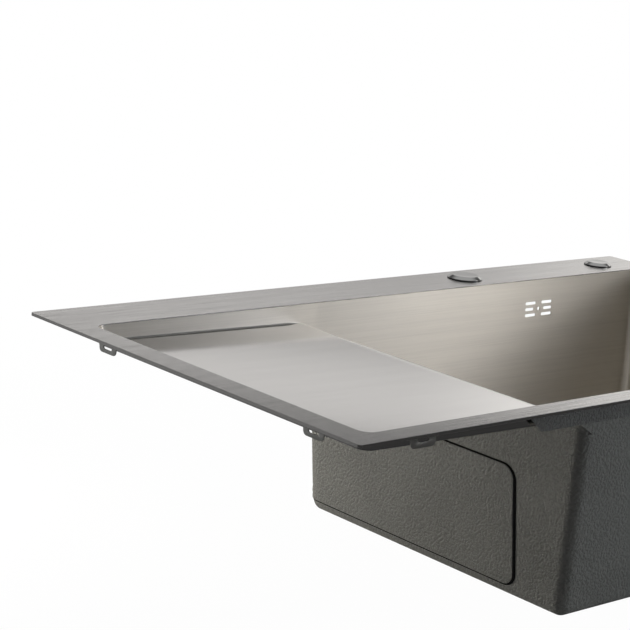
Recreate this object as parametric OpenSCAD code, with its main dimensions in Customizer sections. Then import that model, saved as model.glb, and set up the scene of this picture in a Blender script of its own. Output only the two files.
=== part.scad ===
// Inset kitchen sink in folded steel sheet: a shallow drainer at the left and a deep bowl at the
// right under one flat rim, with a tap deck along the rear.
// Millimetres. X runs along the front edge to the right, Y to the rear and Z up. The origin is the
// middle of the front lip's lower edge, where the rim rests on the worktop.

/* [Rim] */
// Length of the rim, left to right
rim_l = 860; // [780:1:1000]
// Width of the rim, front to rear
rim_w = 480; // [440:1:540]
// Height of the folded rim above the worktop
rim_h = 3; // [2.8:0.1:6]
// Radius of the rim's outer corners
rim_corner_r = 4; // [2:0.5:15]
// Thickness of the steel sheet
sheet_t = 1; // [0.8:0.1:1.2]
// Thickness of the folded lip
lip_t = 1.2; // [1:0.1:2]
// Strip of rim left of the drainer
strip_left = 28; // [20:1:45]
// Strip of rim right of the bowl
strip_right = 29; // [20:1:45]
// Strip of rim in front of the opening
strip_front = 23; // [21:1:40]
// Width of the tap deck behind the opening
deck_w = 68; // [60:1:90]

/* [Drainer] */
// Length of the drainer, from the opening's left edge to the bowl
tray_l = 273; // [200:1:340]
// Depth of the drainer at its left end, below the top of the rim
tray_depth = 16; // [12:0.5:24]
// Further depth that its floor falls by, towards the bowl
tray_fall = 4.5; // [2:0.5:10]
// Radius of the drainer's corners in plan
tray_corner_r = 12; // [10:1:25]
// Radius of the fold between its walls and floor
tray_fold_r = 2; // [2:0.5:6]
// Radius of the nose that turns its floor down into the bowl
nose_r = 17; // [4:0.5:20]

/* [Bowl] */
// Depth of the bowl below the top of the rim, at the foot of its walls
bowl_depth = 221.5; // [150:0.5:240]
// Angle that the walls lean in by, in degrees
wall_draft = 4; // [1:0.1:6]
// Radius of the bowl's corners and of the fold at the foot of its walls
bowl_corner_r = 10; // [8:1:30]
// Height of the weld between the walls and the floor above the floor's fold
floor_seam_h = 0.5; // [0.2:0.1:5]
// Fall of the floor to the waste
floor_fall = 3; // [1:0.5:6]
// Depth of the recess in the floor that takes the waste's flange
recess_depth = 3; // [2.8:0.1:5]

/* [Sound deadening] */
// Thickness of the sprayed coat
coat_t = 1; // [0.5:0.1:2]
// Gap between the top of the coat and the steel above it
coat_gap = 3; // [1:0.5:10]
// Thickness of the pads
pad_t = 1.5; // [1:0.5:4]
// Depth of the pads' upper edge below the top of the rim
pad_top = 92; // [60:1:110]
// Height of the pads' lower edge above the foot of the walls
pad_foot = 10.5; // [8:0.5:20]
// Bare length of side wall in front of a side pad
pad_front = 84; // [40:1:110]
// Radius of the pads' corners
pad_corner_r = 13; // [5:1:25]
// Gap between neighbouring pads
pad_gap = 2; // [0.5:0.5:5]
// Bare margin round the bottom pad
pad_margin = 40; // [30:1:80]
// Bare ring between the waste and the bottom pad
pad_waste_gap = 12; // [3:1:30]

/* [Overflow] */
// Distance of the overflow to the right of the bowl's middle
overflow_right = 91; // [0:1:150]
// Depth of its middle row below the top of the rim
overflow_depth = 35; // [30:1:60]
// Width of the whole pattern
overflow_w = 45; // [42:1:60]
// Length of a slot in the top and bottom rows
slot_l = 18; // [10:0.5:18.5]
// Length of a slot in the middle row
slot_mid_l = 14.5; // [8:0.5:16]
// Height of a slot
slot_h = 3.6; // [2:0.1:5]
// Distance from row to row
slot_pitch = 7; // [6:0.5:10]
// Diameter of the hole for the overflow fitting's screw
screw_hole_d = 4.4; // [3:0.1:5.5]
// Bare margin of steel round the pattern, behind the wall
overflow_margin = 8; // [4:1:12]

/* [Tap deck] */
// Diameter of the tap hole
tap_hole_d = 35; // [32:0.5:37]
// Diameter of the tap hole's cover
tap_cover_d = 40; // [39:0.5:56]
// Diameter of the small hole
small_hole_d = 28; // [24:0.5:30]
// Diameter of the small hole's cover
small_cover_d = 33.5; // [33:0.5:50]
// Distance from the rim's right end to the middle of the small hole
small_hole_inset = 63; // [30:1:120]
// Height of a cover's steel cap above its seal
cap_h = 3.4; // [2.6:0.1:6]
// Width of the bevel round a cap
cap_bevel = 4.5; // [2:0.5:6]
// Height of the straight edge below the bevel
cap_edge = 0.7; // [0.4:0.1:1.2]
// Thickness of the cap's steel
cap_t = 1.1; // [0.8:0.1:1.6]
// Depth of the hollow in the top of the cap
cap_dish = 0.5; // [0.2:0.1:0.6]
// Thickness of the rubber seal under a cap
seal_t = 0.8; // [0.5:0.1:2]
// Depth of the collar below the top of the rim
collar_depth = 11; // [8:0.5:20]
// Wall of the collar
collar_t = 2; // [1.2:0.1:3]
// Running gap round the collar in its hole
collar_gap = 0.3; // [0.3:0.05:0.6]
// Width of the slits that divide the collar into fingers
slit_w = 3; // [1:0.5:6]

/* [Front rail] */
// Distance from the rim's front edge to the rail's face
rail_setback = 17; // [12:0.5:17.5]
// Depth of the rail's lower edge below the top of the rim
rail_depth = 23.5; // [15:0.5:35]
// Thickness of the rail's sheet
rail_t = 1.2; // [0.8:0.1:1.5]
// Width of its welding flange, towards the front
rail_flange = 6.5; // [4:0.5:7]
// Width of its lower hem, towards the rear
rail_hem = 3; // [2:0.5:3.5]
// Distance from the rim's left end to the rail
rail_left = 210; // [150:1:300]
// Distance from the rim's right end to the rail
rail_right = 20; // [5:1:60]
// Length over which each end is cut back, from its top to its bottom
rail_slant = 25.5; // [5:0.5:40]

/* [Fixing tabs] */
// Width of a tab on a long side
tab_w = 28.5; // [20:0.5:40]
// Width of a tab at an end
end_tab_w = 26; // [20:0.5:40]
// Length of a long side's tab below the worktop's surface
tab_drop = 9.5; // [7:0.5:16]
// Length of an end's tab below the worktop's surface
end_tab_drop = 8; // [7:0.5:16]
// Thickness of a tab
tab_t = 1.2; // [0.8:0.1:1.2]
// Distance from the rim's edge to a tab
tab_setback = 2.4; // [2.1:0.1:3]
// Width of a tab's welding flange
tab_flange = 6; // [4:0.5:6.5]
// Radius of a tab's lower corners
tab_corner_r = 4.5; // [1:0.5:6]
// Radius of the flare where a tab leaves the rim
tab_flare_r = 3.5; // [1:0.5:5]
// Length of a tab's slot
tab_slot_l = 13; // [6:0.5:16]
// Height of a tab's slot
tab_slot_h = 3.6; // [2:0.1:4]
// Steel between the rim's lower edge and the slot
tab_slot_top = 0.8; // [0.5:0.1:2]
// Distance from a rim corner to the middle of the nearest tab on a long side
tab_end_long = 74; // [50:1:150]
// Distance from the rim's front corner to the middle of a side's first tab
tab_end_front = 59; // [50:1:120]
// Distance from the rim's rear corner to the middle of a side's second tab
tab_end_rear = 128; // [80:1:160]

/* [Waste] */
// Distance from the rear edge of the opening to the middle of the waste
drain_back = 112; // [100:1:200]
// Diameter of the hole in the bowl's floor
drain_hole_d = 90; // [86:0.5:92]
// Diameter of the strainer dish's flange
flange_d = 114; // [108:1:120]
// Flat ledge left free round the flange
ledge_margin = 3; // [1:0.5:6]
// Thickness of the gasket under the flange
flange_gasket_t = 1.5; // [1:0.1:2.5]
// Diameter of the strainer dish
dish_d = 87; // [84:0.5:89]
// Depth of the strainer dish below its flange
dish_depth = 26; // [22:0.5:34]
// Thickness of the dish's and the basket's steel
dish_t = 1.2; // [0.8:0.1:1.5]
// Number of drain holes in the dish's floor
dish_holes = 8; // [6:1:10]
// Diameter of a drain hole in the dish
dish_hole_d = 10; // [6:0.5:10]
// Distance of the drain holes from the dish's middle
dish_hole_ring = 17; // [16:0.5:18]
// Thickness of the gasket under the bowl
body_gasket_t = 2; // [1:0.1:3]
// Wall of the waste body
body_t = 3; // [2:0.1:4]
// Depth of the waste body's cup below the gasket
cup_depth = 42; // [40:0.5:60]
// Height of the cone under the cup
cone_h = 12; // [8:0.5:20]
// Outer diameter of the outlet tail
tail_d = 47.8; // [40:0.1:48.5]
// Length of the outlet tail
tail_l = 25; // [15:1:50]
// Diameter of the clamping screw
screw_d = 6; // [5:0.5:7]
// Diameter of the hub that holds the screw's insert
hub_d = 18; // [17:0.5:20]
// Width of a rib that carries the hub
rib_w = 3; // [2:0.5:5]

/* [Basket] */
// Diameter of the basket's rolled edge
basket_d = 83; // [80:0.5:83.5]
// Diameter of the basket's cup
basket_cup_d = 74; // [66:0.5:76]
// Height of the basket's cup
basket_h = 19; // [15:0.5:20]
// Thickness of the rubber stopper under the basket
stopper_t = 5; // [4.5:0.1:6]
// Diameter of the stopper
stopper_d = 58; // [54:0.5:62]
// Number of holes in the basket's floor, ring by ring from the middle
basket_ring_holes = [8, 14]; // [6:1:14]
// Diameter of a hole in the basket
basket_hole_d = 4.5; // [3:0.5:4.5]
// Distance of the first ring of holes from the middle
basket_ring_r = 11; // [9:0.5:12]
// Distance from ring to ring
basket_ring_pitch = 22; // [21:0.5:23]
// Number of slots round the basket's wall
basket_slots = 16; // [8:1:20]
// Width of such a slot
basket_slot_w = 2.5; // [1.5:0.1:3]
// Solid wall below and above the slots
basket_slot_margin = 4.5; // [3:0.5:5.5]
// Diameter of the knob's stem
stem_d = 8; // [6:0.5:9]
// Diameter of the knob
knob_d = 19; // [14:0.5:24]
// Height of the knob's top above the basket's edge
knob_rise = 8; // [8:0.5:14]
// Height of the knob's grip
knob_h = 5; // [4:0.5:6]
// Height of the bevel under the grip and width of the one on its top
knob_bevel = 2; // [1:0.5:2.5]
// Width of the small bevels at the grip's edge
knob_soft = 1; // [0.5:0.1:1.5]

/* [Hidden] */
$fn = 64;

// Facets on rounded corners that are hulled
corner_fn = 32;
// A length past every face, for cuts
past = 600;
// Length by which a cutter runs on past both sides of a thin floor or wall
cut = 8;
// Thickness of the thin discs that a hull is stretched over
skin = 0.01;

// Rim and opening
edge_x0 = -rim_l / 2;
edge_x1 = rim_l / 2;
edge_y0 = -lip_t / 2;
edge_y1 = edge_y0 + rim_w;
sheet_z = rim_h - sheet_t;
open_x0 = edge_x0 + strip_left;
open_x1 = edge_x1 - strip_right;
open_y0 = edge_y0 + strip_front;
open_y1 = edge_y1 - deck_w;
open_my = (open_y0 + open_y1) / 2;
open_hy = (open_y1 - open_y0) / 2;

// Levels of the drainer, its nose and the bowl
nose_z = rim_h - tray_depth - tray_fall;
seam_z = nose_z - nose_r;
floor_z = rim_h - bowl_depth;
slope_z = floor_z - floor_fall;
floor_seam_z = floor_z + bowl_corner_r + floor_seam_h;
ledge_z = slope_z - recess_depth;
under_z = ledge_z - sheet_t;
pad_r = bowl_corner_r + sheet_t + coat_t + pad_t;

// How far a wall leans in at a level, counted from the top of the rim
function lean(z) = (rim_h - z) * tan(wall_draft);

// The bowl in plan
bowl_x0 = open_x0 + tray_l;
bowl_mx = (bowl_x0 + open_x1) / 2;
mouth_x = bowl_x0 + lean(seam_z);
seam_x = mouth_x + bowl_corner_r;
mouth_hy = open_hy - lean(seam_z);
nose_end_x = seam_x - sqrt(pow(bowl_corner_r + nose_r, 2)
    - pow(bowl_corner_r + lean(seam_z) - lean(nose_z), 2));

// Level of the drainer's floor at a distance along X
floor_slope = tray_fall / (mouth_x - nose_r - open_x0);
function tray_z(x) = rim_h - tray_depth - (x - open_x0) * floor_slope;

// Waste
drain_x = bowl_mx;
drain_y = open_y1 - drain_back;
ledge_r = flange_d / 2 + ledge_margin;
flange_z = ledge_z + flange_gasket_t;
dish_floor_z = flange_z - dish_depth;
dish_in_r = dish_d / 2 - dish_t;
body_z = under_z - body_gasket_t;
cup_z = body_z - cup_depth;
tail_z = cup_z - cone_h;
hub_gap = 2;
hub_h = 8;
hub_z = dish_floor_z - dish_t - hub_gap - hub_h;
insert_t = 2;
insert_d = screw_d + 2 * insert_t;
head_margin = 3;
head_d = screw_d + 2 * head_margin;
head_h = 2.6;
head_room = 1.5;
driver_slot = 1.2;
screw_fit = 0.05;
screw_end = 2;
basket_z = dish_floor_z + stopper_t;
basket_top_z = basket_z + basket_h;

// Deck
tap_x = bowl_mx;
deck_y = edge_y1 - deck_w / 2;
small_x = edge_x1 - small_hole_inset;

// Outline of a plate with one radius on its left corners and another on its right corners
module plate_outline(x0, x1, y0, y1, r0, r1) {
    translate([x0 + r0, y0]) square([x1 - x0 - r0 - r1, y1 - y0]);
    translate([x0, y0 + r0]) square([r0, y1 - y0 - 2 * r0]);
    translate([x1 - r1, y0 + r1]) square([r1, y1 - y0 - 2 * r1]);
    for (y = [y0 + r0, y1 - r0]) translate([x0 + r0, y]) circle(r0);
    for (y = [y0 + r1, y1 - r1]) translate([x1 - r1, y]) circle(r1);
}

// A slot with round ends, along X
module slot_outline(l, h) {
    square([l - h, h], center = true);
    for (s = [-1, 1]) translate([s * (l - h) / 2, 0]) circle(h / 2);
}

// A flat ring
module ring(r_out, r_in, h) {
    difference() {
        cylinder(r = r_out, h = h);
        translate([0, 0, -1]) cylinder(r = r_in, h = h + 2);
    }
}

// A thing at both ends of the opening's width, drawn for the rear in distances from its middle
module front_and_rear() {
    for (m = [0, 1]) translate([0, open_my, 0]) mirror([0, m, 0]) children();
}

// Everything over the underside of the rim's sheet
module over_sheet() {
    translate([-past, -past, sheet_z]) cube([2 * past, 2 * past, past]);
}

// A thing on the waste's centre line
module at_drain() {
    translate([drain_x, drain_y, 0]) children();
}

// The bowl as a solid, o outside its inner faces, with corners of radius r
module bowl_block(o, r) {
    cz = floor_z - o + r;
    hull() {
        for (z = [rim_h, cz], sx = [0, 1], sy = [-1, 1]) {
            inset = lean(z) - o + r;
            x = sx == 0 ? bowl_x0 + inset : open_x1 - inset;
            translate([x, open_my + sy * (open_hy - inset), z]) cylinder(r = r, h = skin, $fn = corner_fn);
        }
        for (sx = [0, 1], sy = [-1, 1]) {
            inset = lean(cz) - o + r;
            x = sx == 0 ? bowl_x0 + inset : open_x1 - inset;
            translate([x, open_my + sy * (open_hy - inset), cz]) sphere(r = r, $fn = corner_fn);
        }
        translate([drain_x, drain_y, slope_z - o]) cylinder(r = ledge_r, h = skin, $fn = corner_fn * 2);
    }
}

// A disc with a rounded edge, standing on its flat side
module puck(r, edge_r) {
    rotate_extrude($fn = corner_fn) {
        translate([r - edge_r, edge_r]) circle(edge_r, $fn = corner_fn);
        square([r - edge_r, 2 * edge_r]);
    }
}

// The drainer as a solid, o outside its inner faces and run on past the seam with the bowl
module tray_block(o) {
    flat_r = tray_corner_r - tray_fold_r;
    x0 = open_x0 + tray_corner_r;
    x1 = seam_x + tray_corner_r;
    hull() {
        for (x = [x0, x1], sy = [-1, 1])
            translate([x, open_my + sy * (open_hy - tray_corner_r), rim_h])
                cylinder(r = tray_corner_r + o, h = skin, $fn = corner_fn);
        for (x = [x0 + lean(tray_z(x0)), x1], sy = [-1, 1]) {
            z = tray_z(x - flat_r);
            translate([x, open_my + sy * (open_hy - tray_corner_r - lean(z)), z - o])
                puck(tray_corner_r + o, tray_fold_r + o);
        }
    }
}

// Section of a long wall of the opening, from the rim's sheet down to the seam
module wall_section() {
    top = open_hy - lean(sheet_z);
    foot = open_hy - lean(seam_z);
    polygon([[top, sheet_z], [foot, seam_z], [foot + sheet_t, seam_z], [top + sheet_t, sheet_z]]);
}

// Space between the long walls, o past their inner faces
module between_walls(o) {
    top = open_hy - lean(sheet_z) + o;
    foot = open_hy - lean(seam_z) + o;
    translate([mouth_x - nose_r, open_my, 0])
        rotate([90, 0, 90])
            linear_extrude(nose_r + bowl_corner_r)
                polygon([[-top, sheet_z], [-foot, seam_z], [foot, seam_z], [top, sheet_z]]);
}

// Section of a layer of the nose between two radii, with the bowl's side at zero
module nose_section(r_out, r_in) {
    difference() {
        translate([-nose_r, seam_z]) circle(r_out);
        translate([-nose_r, seam_z]) circle(r_in);
        translate([-3 * nose_r, seam_z - 2 * nose_r]) square([2 * nose_r, 4 * nose_r]);
        translate([-2 * nose_r, seam_z - 2 * nose_r]) square([3 * nose_r, 2 * nose_r]);
    }
}

// A layer of the nose, straight and round the two corners of the mouth, o past the long walls' faces
module nose(r_out, r_in, o) {
    straight = mouth_hy - bowl_corner_r;
    translate([mouth_x, open_my + straight, 0])
        rotate([90, 0, 0])
            linear_extrude(2 * straight) nose_section(r_out, r_in);
    intersection() {
        front_and_rear()
            translate([seam_x, straight, 0])
                rotate([0, 0, 90])
                    rotate_extrude(angle = 90)
                        translate([bowl_corner_r, 0])
                            mirror([1, 0]) nose_section(r_out, r_in);
        between_walls(o);
    }
}

// Everything under the nose's sheet at the rear corner of the mouth
module under_nose() {
    hollow_r = nose_r - sheet_t;
    translate([seam_x, mouth_hy - bowl_corner_r, 0])
        rotate([0, 0, 90])
            rotate_extrude(angle = 90)
                translate([bowl_corner_r + nose_r, seam_z]) {
                    intersection() {
                        circle(hollow_r);
                        translate([-nose_r, 0]) square(2 * nose_r);
                    }
                    square([2 * nose_r, hollow_r]);
                }
}

// The outline of the bowl's mouth, o outside it, in distances from the opening's middle
module mouth_outline(o) {
    plate_outline(mouth_x - o, past, -mouth_hy - o, mouth_hy + o, bowl_corner_r + o, bowl_corner_r + o);
}

module rim_plate() {
    color([0.74, 0.72, 0.71])
        difference() {
            linear_extrude(rim_h)
                plate_outline(edge_x0, edge_x1, edge_y0, edge_y1, rim_corner_r, rim_corner_r);
            // Hollow behind the folded lip
            translate([0, 0, -1])
                linear_extrude(sheet_z + 1)
                    plate_outline(edge_x0 + lip_t, edge_x1 - lip_t, edge_y0 + lip_t, edge_y1 - lip_t,
                        rim_corner_r - lip_t, rim_corner_r - lip_t);
            // Opening over the drainer and the bowl
            translate([0, 0, -1])
                linear_extrude(rim_h + 2)
                    plate_outline(open_x0, open_x1, open_y0, open_y1, tray_corner_r, bowl_corner_r);
            translate([tap_x, deck_y, -1]) cylinder(d = tap_hole_d, h = rim_h + 2);
            translate([small_x, deck_y, -1]) cylinder(d = small_hole_d, h = rim_h + 2);
        }
}

module drainer_tray() {
    color([0.68, 0.68, 0.67]) {
        difference() {
            tray_block(sheet_t);
            tray_block(0);
            over_sheet();
            translate([nose_end_x, -past, -past]) cube([past, 2 * past, 2 * past]);
            // The floor stops where the nose begins
            translate([0, open_my, 0])
                intersection() {
                    translate([0, 0, -past / 2]) linear_extrude(past) mouth_outline(nose_r);
                    translate([-past, -mouth_hy, -past / 2]) cube([2 * past, 2 * mouth_hy, past]);
                }
        }
        // Long walls beside the nose, down to the bowl's corners
        front_and_rear()
            difference() {
                translate([nose_end_x, 0, 0])
                    rotate([90, 0, 90])
                        linear_extrude(seam_x - nose_end_x) wall_section();
                under_nose();
            }
        nose(nose_r, nose_r - sheet_t, sheet_t / 2);
    }
}

// The part of the bowl's height that belongs to the drainer at its left end
module drainer_side(z) {
    translate([-past, -past, z]) cube([past + seam_x, 2 * past, past]);
}

// Six overflow slots and the screw hole, cut square to the bowl's rear wall
module overflow_cut() {
    wall_y = open_y1 - lean(rim_h - overflow_depth);
    translate([bowl_mx + overflow_right, wall_y, rim_h - overflow_depth])
        rotate([90 - wall_draft, 0, 0])
            translate([0, 0, -cut])
                linear_extrude(2 * cut) {
                    for (row = [-1, 0, 1], side = [-1, 1]) {
                        l = row == 0 ? slot_mid_l : slot_l;
                        translate([side * (overflow_w - l) / 2, row * slot_pitch]) slot_outline(l, slot_h);
                    }
                    circle(d = screw_hole_d);
                }
}

// Window in the coat round the overflow
module overflow_window() {
    w = overflow_w + 2 * overflow_margin;
    h = 2 * slot_pitch + slot_h + 2 * overflow_margin;
    translate([bowl_mx + overflow_right, open_my + past, rim_h - overflow_depth])
        rotate([90, 0, 0])
            linear_extrude(past)
                plate_outline(-w / 2, w / 2, -h / 2, h / 2, overflow_margin / 2, overflow_margin / 2);
}

// Flat rear wall of the bowl, welded in between its corners and on its floor
panel_x0 = bowl_x0 + lean(floor_z) + bowl_corner_r;
panel_x1 = open_x1 - lean(floor_z) - bowl_corner_r;

module rear_panel() {
    top = open_hy - lean(sheet_z);
    foot = open_hy - lean(floor_seam_z);
    color([0.62, 0.6, 0.57])
        difference() {
            translate([panel_x0, open_my, 0])
                rotate([90, 0, 90])
                    linear_extrude(panel_x1 - panel_x0)
                        polygon([[top, sheet_z], [foot, floor_seam_z], [foot + sheet_t, floor_seam_z],
                            [top + sheet_t, sheet_z]]);
            overflow_cut();
        }
}

// The bowl's sheet in one, open to the drainer above the seam
module bowl_sheet() {
    difference() {
        union() {
            bowl_block(sheet_t, bowl_corner_r + sheet_t);
            at_drain() translate([0, 0, under_z]) cylinder(r = ledge_r + sheet_t, h = recess_depth + sheet_t);
        }
        bowl_block(0, bowl_corner_r);
        at_drain() translate([0, 0, ledge_z]) cylinder(r = ledge_r, h = 2 * recess_depth);
        over_sheet();
        drainer_side(seam_z);
        at_drain() translate([0, 0, -past]) cylinder(d = drain_hole_d, h = past);
    }
}

// Left, front and right walls with the bowl's four corners
module bowl() {
    color([0.62, 0.6, 0.57])
        difference() {
            bowl_sheet();
            translate([-past, -past, floor_seam_z - past]) cube([2 * past, 2 * past, past]);
            translate([panel_x0, open_my, floor_seam_z - cut]) cube([panel_x1 - panel_x0, past, past]);
        }
}

// Floor with the fold round its edge, its fall and the recess for the waste
module bowl_floor() {
    color([0.62, 0.6, 0.57])
        difference() {
            bowl_sheet();
            translate([-past, -past, floor_seam_z]) cube([2 * past, 2 * past, past]);
        }
}

// Sprayed coat on the outside of the bowl and under the nose, open round the overflow and the waste
module bowl_coating() {
    color([0.27, 0.27, 0.26]) {
        difference() {
            bowl_block(sheet_t + coat_t, bowl_corner_r + sheet_t + coat_t);
            bowl_block(sheet_t, bowl_corner_r + sheet_t);
            translate([-past, -past, sheet_z - coat_gap]) cube([2 * past, 2 * past, past]);
            drainer_side(seam_z);
            overflow_window();
            at_drain() translate([0, 0, -past]) cylinder(r = ledge_r + sheet_t + coat_gap, h = past);
        }
        nose(nose_r - sheet_t, nose_r - sheet_t - coat_t, 0);
    }
}

// A layer of pad material over the whole coat
module pad_layer() {
    difference() {
        bowl_block(sheet_t + coat_t + pad_t, pad_r);
        bowl_block(sheet_t + coat_t, bowl_corner_r + sheet_t + coat_t);
    }
}

// Outline of a wall pad, from one distance along the wall to another
module pad_outline(a, b) {
    plate_outline(a, b, floor_z + pad_foot, rim_h - pad_top, pad_corner_r, pad_corner_r);
}

// The left pad wraps the rear corner, so that it ends on the rear wall
module pad_left() {
    color([0.31, 0.31, 0.29])
        intersection() {
            pad_layer();
            translate([-past, 0, 0])
                rotate([90, 0, 90])
                    linear_extrude(past + seam_x + bowl_corner_r)
                        pad_outline(open_y0 + pad_front, open_y1 + past);
        }
}

module pad_right() {
    color([0.31, 0.31, 0.29])
        intersection() {
            pad_layer();
            translate([bowl_mx, 0, 0])
                rotate([90, 0, 90])
                    linear_extrude(past) pad_outline(open_y0 + pad_front, open_y1 - pad_front);
        }
}

module pad_rear() {
    color([0.31, 0.31, 0.29])
        intersection() {
            pad_layer();
            translate([0, open_my + past, 0])
                rotate([90, 0, 0])
                    linear_extrude(past)
                        pad_outline(seam_x + bowl_corner_r + pad_gap,
                            open_x1 - lean(floor_z) - pad_r - pad_gap);
        }
}

module pad_bottom() {
    margin = lean(floor_z) + pad_margin;
    color([0.31, 0.31, 0.29])
        difference() {
            intersection() {
                pad_layer();
                translate([0, 0, floor_z - past])
                    linear_extrude(past)
                        plate_outline(bowl_x0 + margin, open_x1 - margin, open_y0 + margin,
                            open_y1 - margin, pad_corner_r, pad_corner_r);
            }
            at_drain() translate([0, 0, -past]) cylinder(r = ledge_r + pad_waste_gap, h = past);
        }
}

// Sheet rail behind the front strip: welding flange, web and hem, with both ends cut back
module front_rail() {
    face_y = edge_y0 + rail_setback;
    foot_z = rim_h - rail_depth;
    x0 = edge_x0 + rail_left;
    x1 = edge_x1 - rail_right;
    color([0.24, 0.24, 0.24])
        intersection() {
            translate([x0, 0, 0])
                rotate([90, 0, 90])
                    linear_extrude(x1 - x0) {
                        translate([face_y, foot_z]) square([rail_t, sheet_z - foot_z]);
                        translate([face_y - rail_flange, sheet_z - rail_t]) square([rail_flange, rail_t]);
                        translate([face_y, foot_z]) square([rail_t + rail_hem, rail_t]);
                    }
            translate([0, past, 0])
                rotate([90, 0, 0])
                    linear_extrude(past)
                        polygon([[x0, sheet_z], [x0 + rail_slant, foot_z], [x1 - rail_slant, foot_z],
                            [x1, sheet_z]]);
        }
}

// Face of a tab w wide that hangs down by h, with its slot, flared where it leaves the rim
module tab_outline(w, h) {
    r = min(tab_corner_r, h - tab_flare_r);
    difference() {
        union() {
            translate([-w / 2, r - h]) square([w, h - r + sheet_z]);
            translate([r - w / 2, -h]) square([w - 2 * r, r]);
            for (s = [-1, 1]) translate([s * (w / 2 - r), r - h]) circle(r);
            translate([-w / 2 - tab_flare_r, -tab_flare_r])
                square([w + 2 * tab_flare_r, tab_flare_r + sheet_z]);
        }
        for (s = [-1, 1]) translate([s * (w / 2 + tab_flare_r), -tab_flare_r]) circle(tab_flare_r);
        translate([0, -tab_slot_top - tab_slot_h / 2]) slot_outline(tab_slot_l, tab_slot_h);
    }
}

// One tab on a front edge at Y = 0: a face that hangs down and a flange under the rim's sheet
module tab(w, h) {
    translate([0, tab_setback + tab_t, 0]) rotate([90, 0, 0]) linear_extrude(tab_t) tab_outline(w, h);
    translate([-w / 2, tab_setback, sheet_z - tab_t]) cube([w, tab_flange, tab_t]);
}

tab_rows_x = [edge_x0 + tab_end_long, 0, edge_x1 - tab_end_long];
tab_rows_y = [edge_y0 + tab_end_front, edge_y1 - tab_end_rear];

module tabs_front() {
    color([0.4, 0.4, 0.39]) for (x = tab_rows_x) translate([x, edge_y0, 0]) tab(tab_w, tab_drop);
}

module tabs_rear() {
    color([0.4, 0.4, 0.39])
        for (x = tab_rows_x) translate([x, edge_y1, 0]) rotate([0, 0, 180]) tab(tab_w, tab_drop);
}

module tabs_left() {
    color([0.4, 0.4, 0.39])
        for (y = tab_rows_y) translate([edge_x0, y, 0]) rotate([0, 0, -90]) tab(end_tab_w, end_tab_drop);
}

module tabs_right() {
    color([0.4, 0.4, 0.39])
        for (y = tab_rows_y) translate([edge_x1, y, 0]) rotate([0, 0, 90]) tab(end_tab_w, end_tab_drop);
}

// Steel cap of a hole cover, standing on its seal: a bevelled shell with a slightly hollow top
module cover_cap(d) {
    r = d / 2;
    top_r = r - cap_bevel;
    hollow = [for (i = [0 : 6]) [top_r * i / 6, cap_h - cap_dish * (1 - i * i / 36)]];
    rotate_extrude()
        polygon(concat(hollow, [[r, cap_edge], [r, 0], [r - cap_t, 0], [top_r - cap_t / 2, cap_h - cap_t],
            [0, cap_h - cap_t]]));
}

// Rubber ring between a cap and the deck
module cover_seal(d, hole_d) {
    ring(d / 2 - cap_t / 4, hole_d / 2 + collar_gap, seal_t);
}

// Plastic collar under a cap: a disc and a ring of fingers that pass through the deck
module cover_collar(d, hole_d) {
    r_out = hole_d / 2 - collar_gap;
    r_top = min(d / 2 - cap_bevel - cap_t, r_out);
    top_z = rim_h + seal_t + cap_h - cap_t;
    step_z = rim_h + seal_t / 2;
    foot_z = rim_h - collar_depth;
    difference() {
        rotate_extrude()
            polygon([[0, top_z], [r_top, top_z], [r_top, step_z], [r_out, step_z], [r_out, foot_z],
                [r_out - collar_t, foot_z], [r_out - collar_t, step_z - collar_t],
                [r_top - collar_t, step_z - collar_t], [r_top - collar_t, top_z - collar_t],
                [0, top_z - collar_t]]);
        for (a = [0, 90])
            rotate([0, 0, a])
                translate([-hole_d, -slit_w / 2, foot_z - 1]) cube([2 * hole_d, slit_w, collar_depth - sheet_t]);
    }
}

module at_tap_hole() {
    translate([tap_x, deck_y, 0]) children();
}

module at_small_hole() {
    translate([small_x, deck_y, 0]) children();
}

module tap_cover_cap() {
    color([0.6, 0.6, 0.6]) at_tap_hole() translate([0, 0, rim_h + seal_t]) cover_cap(tap_cover_d);
}

module tap_cover_seal() {
    color([0.08, 0.08, 0.08]) at_tap_hole() translate([0, 0, rim_h]) cover_seal(tap_cover_d, tap_hole_d);
}

module tap_cover_collar() {
    color([0.2, 0.2, 0.2]) at_tap_hole() cover_collar(tap_cover_d, tap_hole_d);
}

module small_cover_cap() {
    color([0.6, 0.6, 0.6]) at_small_hole() translate([0, 0, rim_h + seal_t]) cover_cap(small_cover_d);
}

module small_cover_seal() {
    color([0.08, 0.08, 0.08])
        at_small_hole() translate([0, 0, rim_h]) cover_seal(small_cover_d, small_hole_d);
}

module small_cover_collar() {
    color([0.2, 0.2, 0.2]) at_small_hole() cover_collar(small_cover_d, small_hole_d);
}

// Flanged dish in the bowl's floor, with a ring of drain holes and a hole for the clamping screw
module strainer_dish() {
    color([0.7, 0.7, 0.7])
        at_drain()
            difference() {
                union() {
                    translate([0, 0, flange_z]) cylinder(d = flange_d, h = dish_t);
                    translate([0, 0, dish_floor_z - dish_t]) cylinder(d = dish_d, h = dish_depth + dish_t);
                }
                translate([0, 0, dish_floor_z]) cylinder(r = dish_in_r, h = 2 * dish_depth);
                for (i = [0 : dish_holes - 1])
                    rotate([0, 0, i * 360 / dish_holes])
                        translate([dish_hole_ring, 0, dish_floor_z - cut]) cylinder(d = dish_hole_d, h = 2 * cut);
                translate([0, 0, dish_floor_z - cut]) cylinder(d = screw_d + 2 * screw_fit, h = 2 * cut);
            }
}

module flange_gasket() {
    color([0.1, 0.1, 0.1])
        at_drain() translate([0, 0, ledge_z]) ring(flange_d / 2, drain_hole_d / 2, flange_gasket_t);
}

module body_gasket() {
    color([0.1, 0.1, 0.1])
        at_drain() translate([0, 0, body_z]) ring(flange_d / 2, drain_hole_d / 2, body_gasket_t);
}

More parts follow.
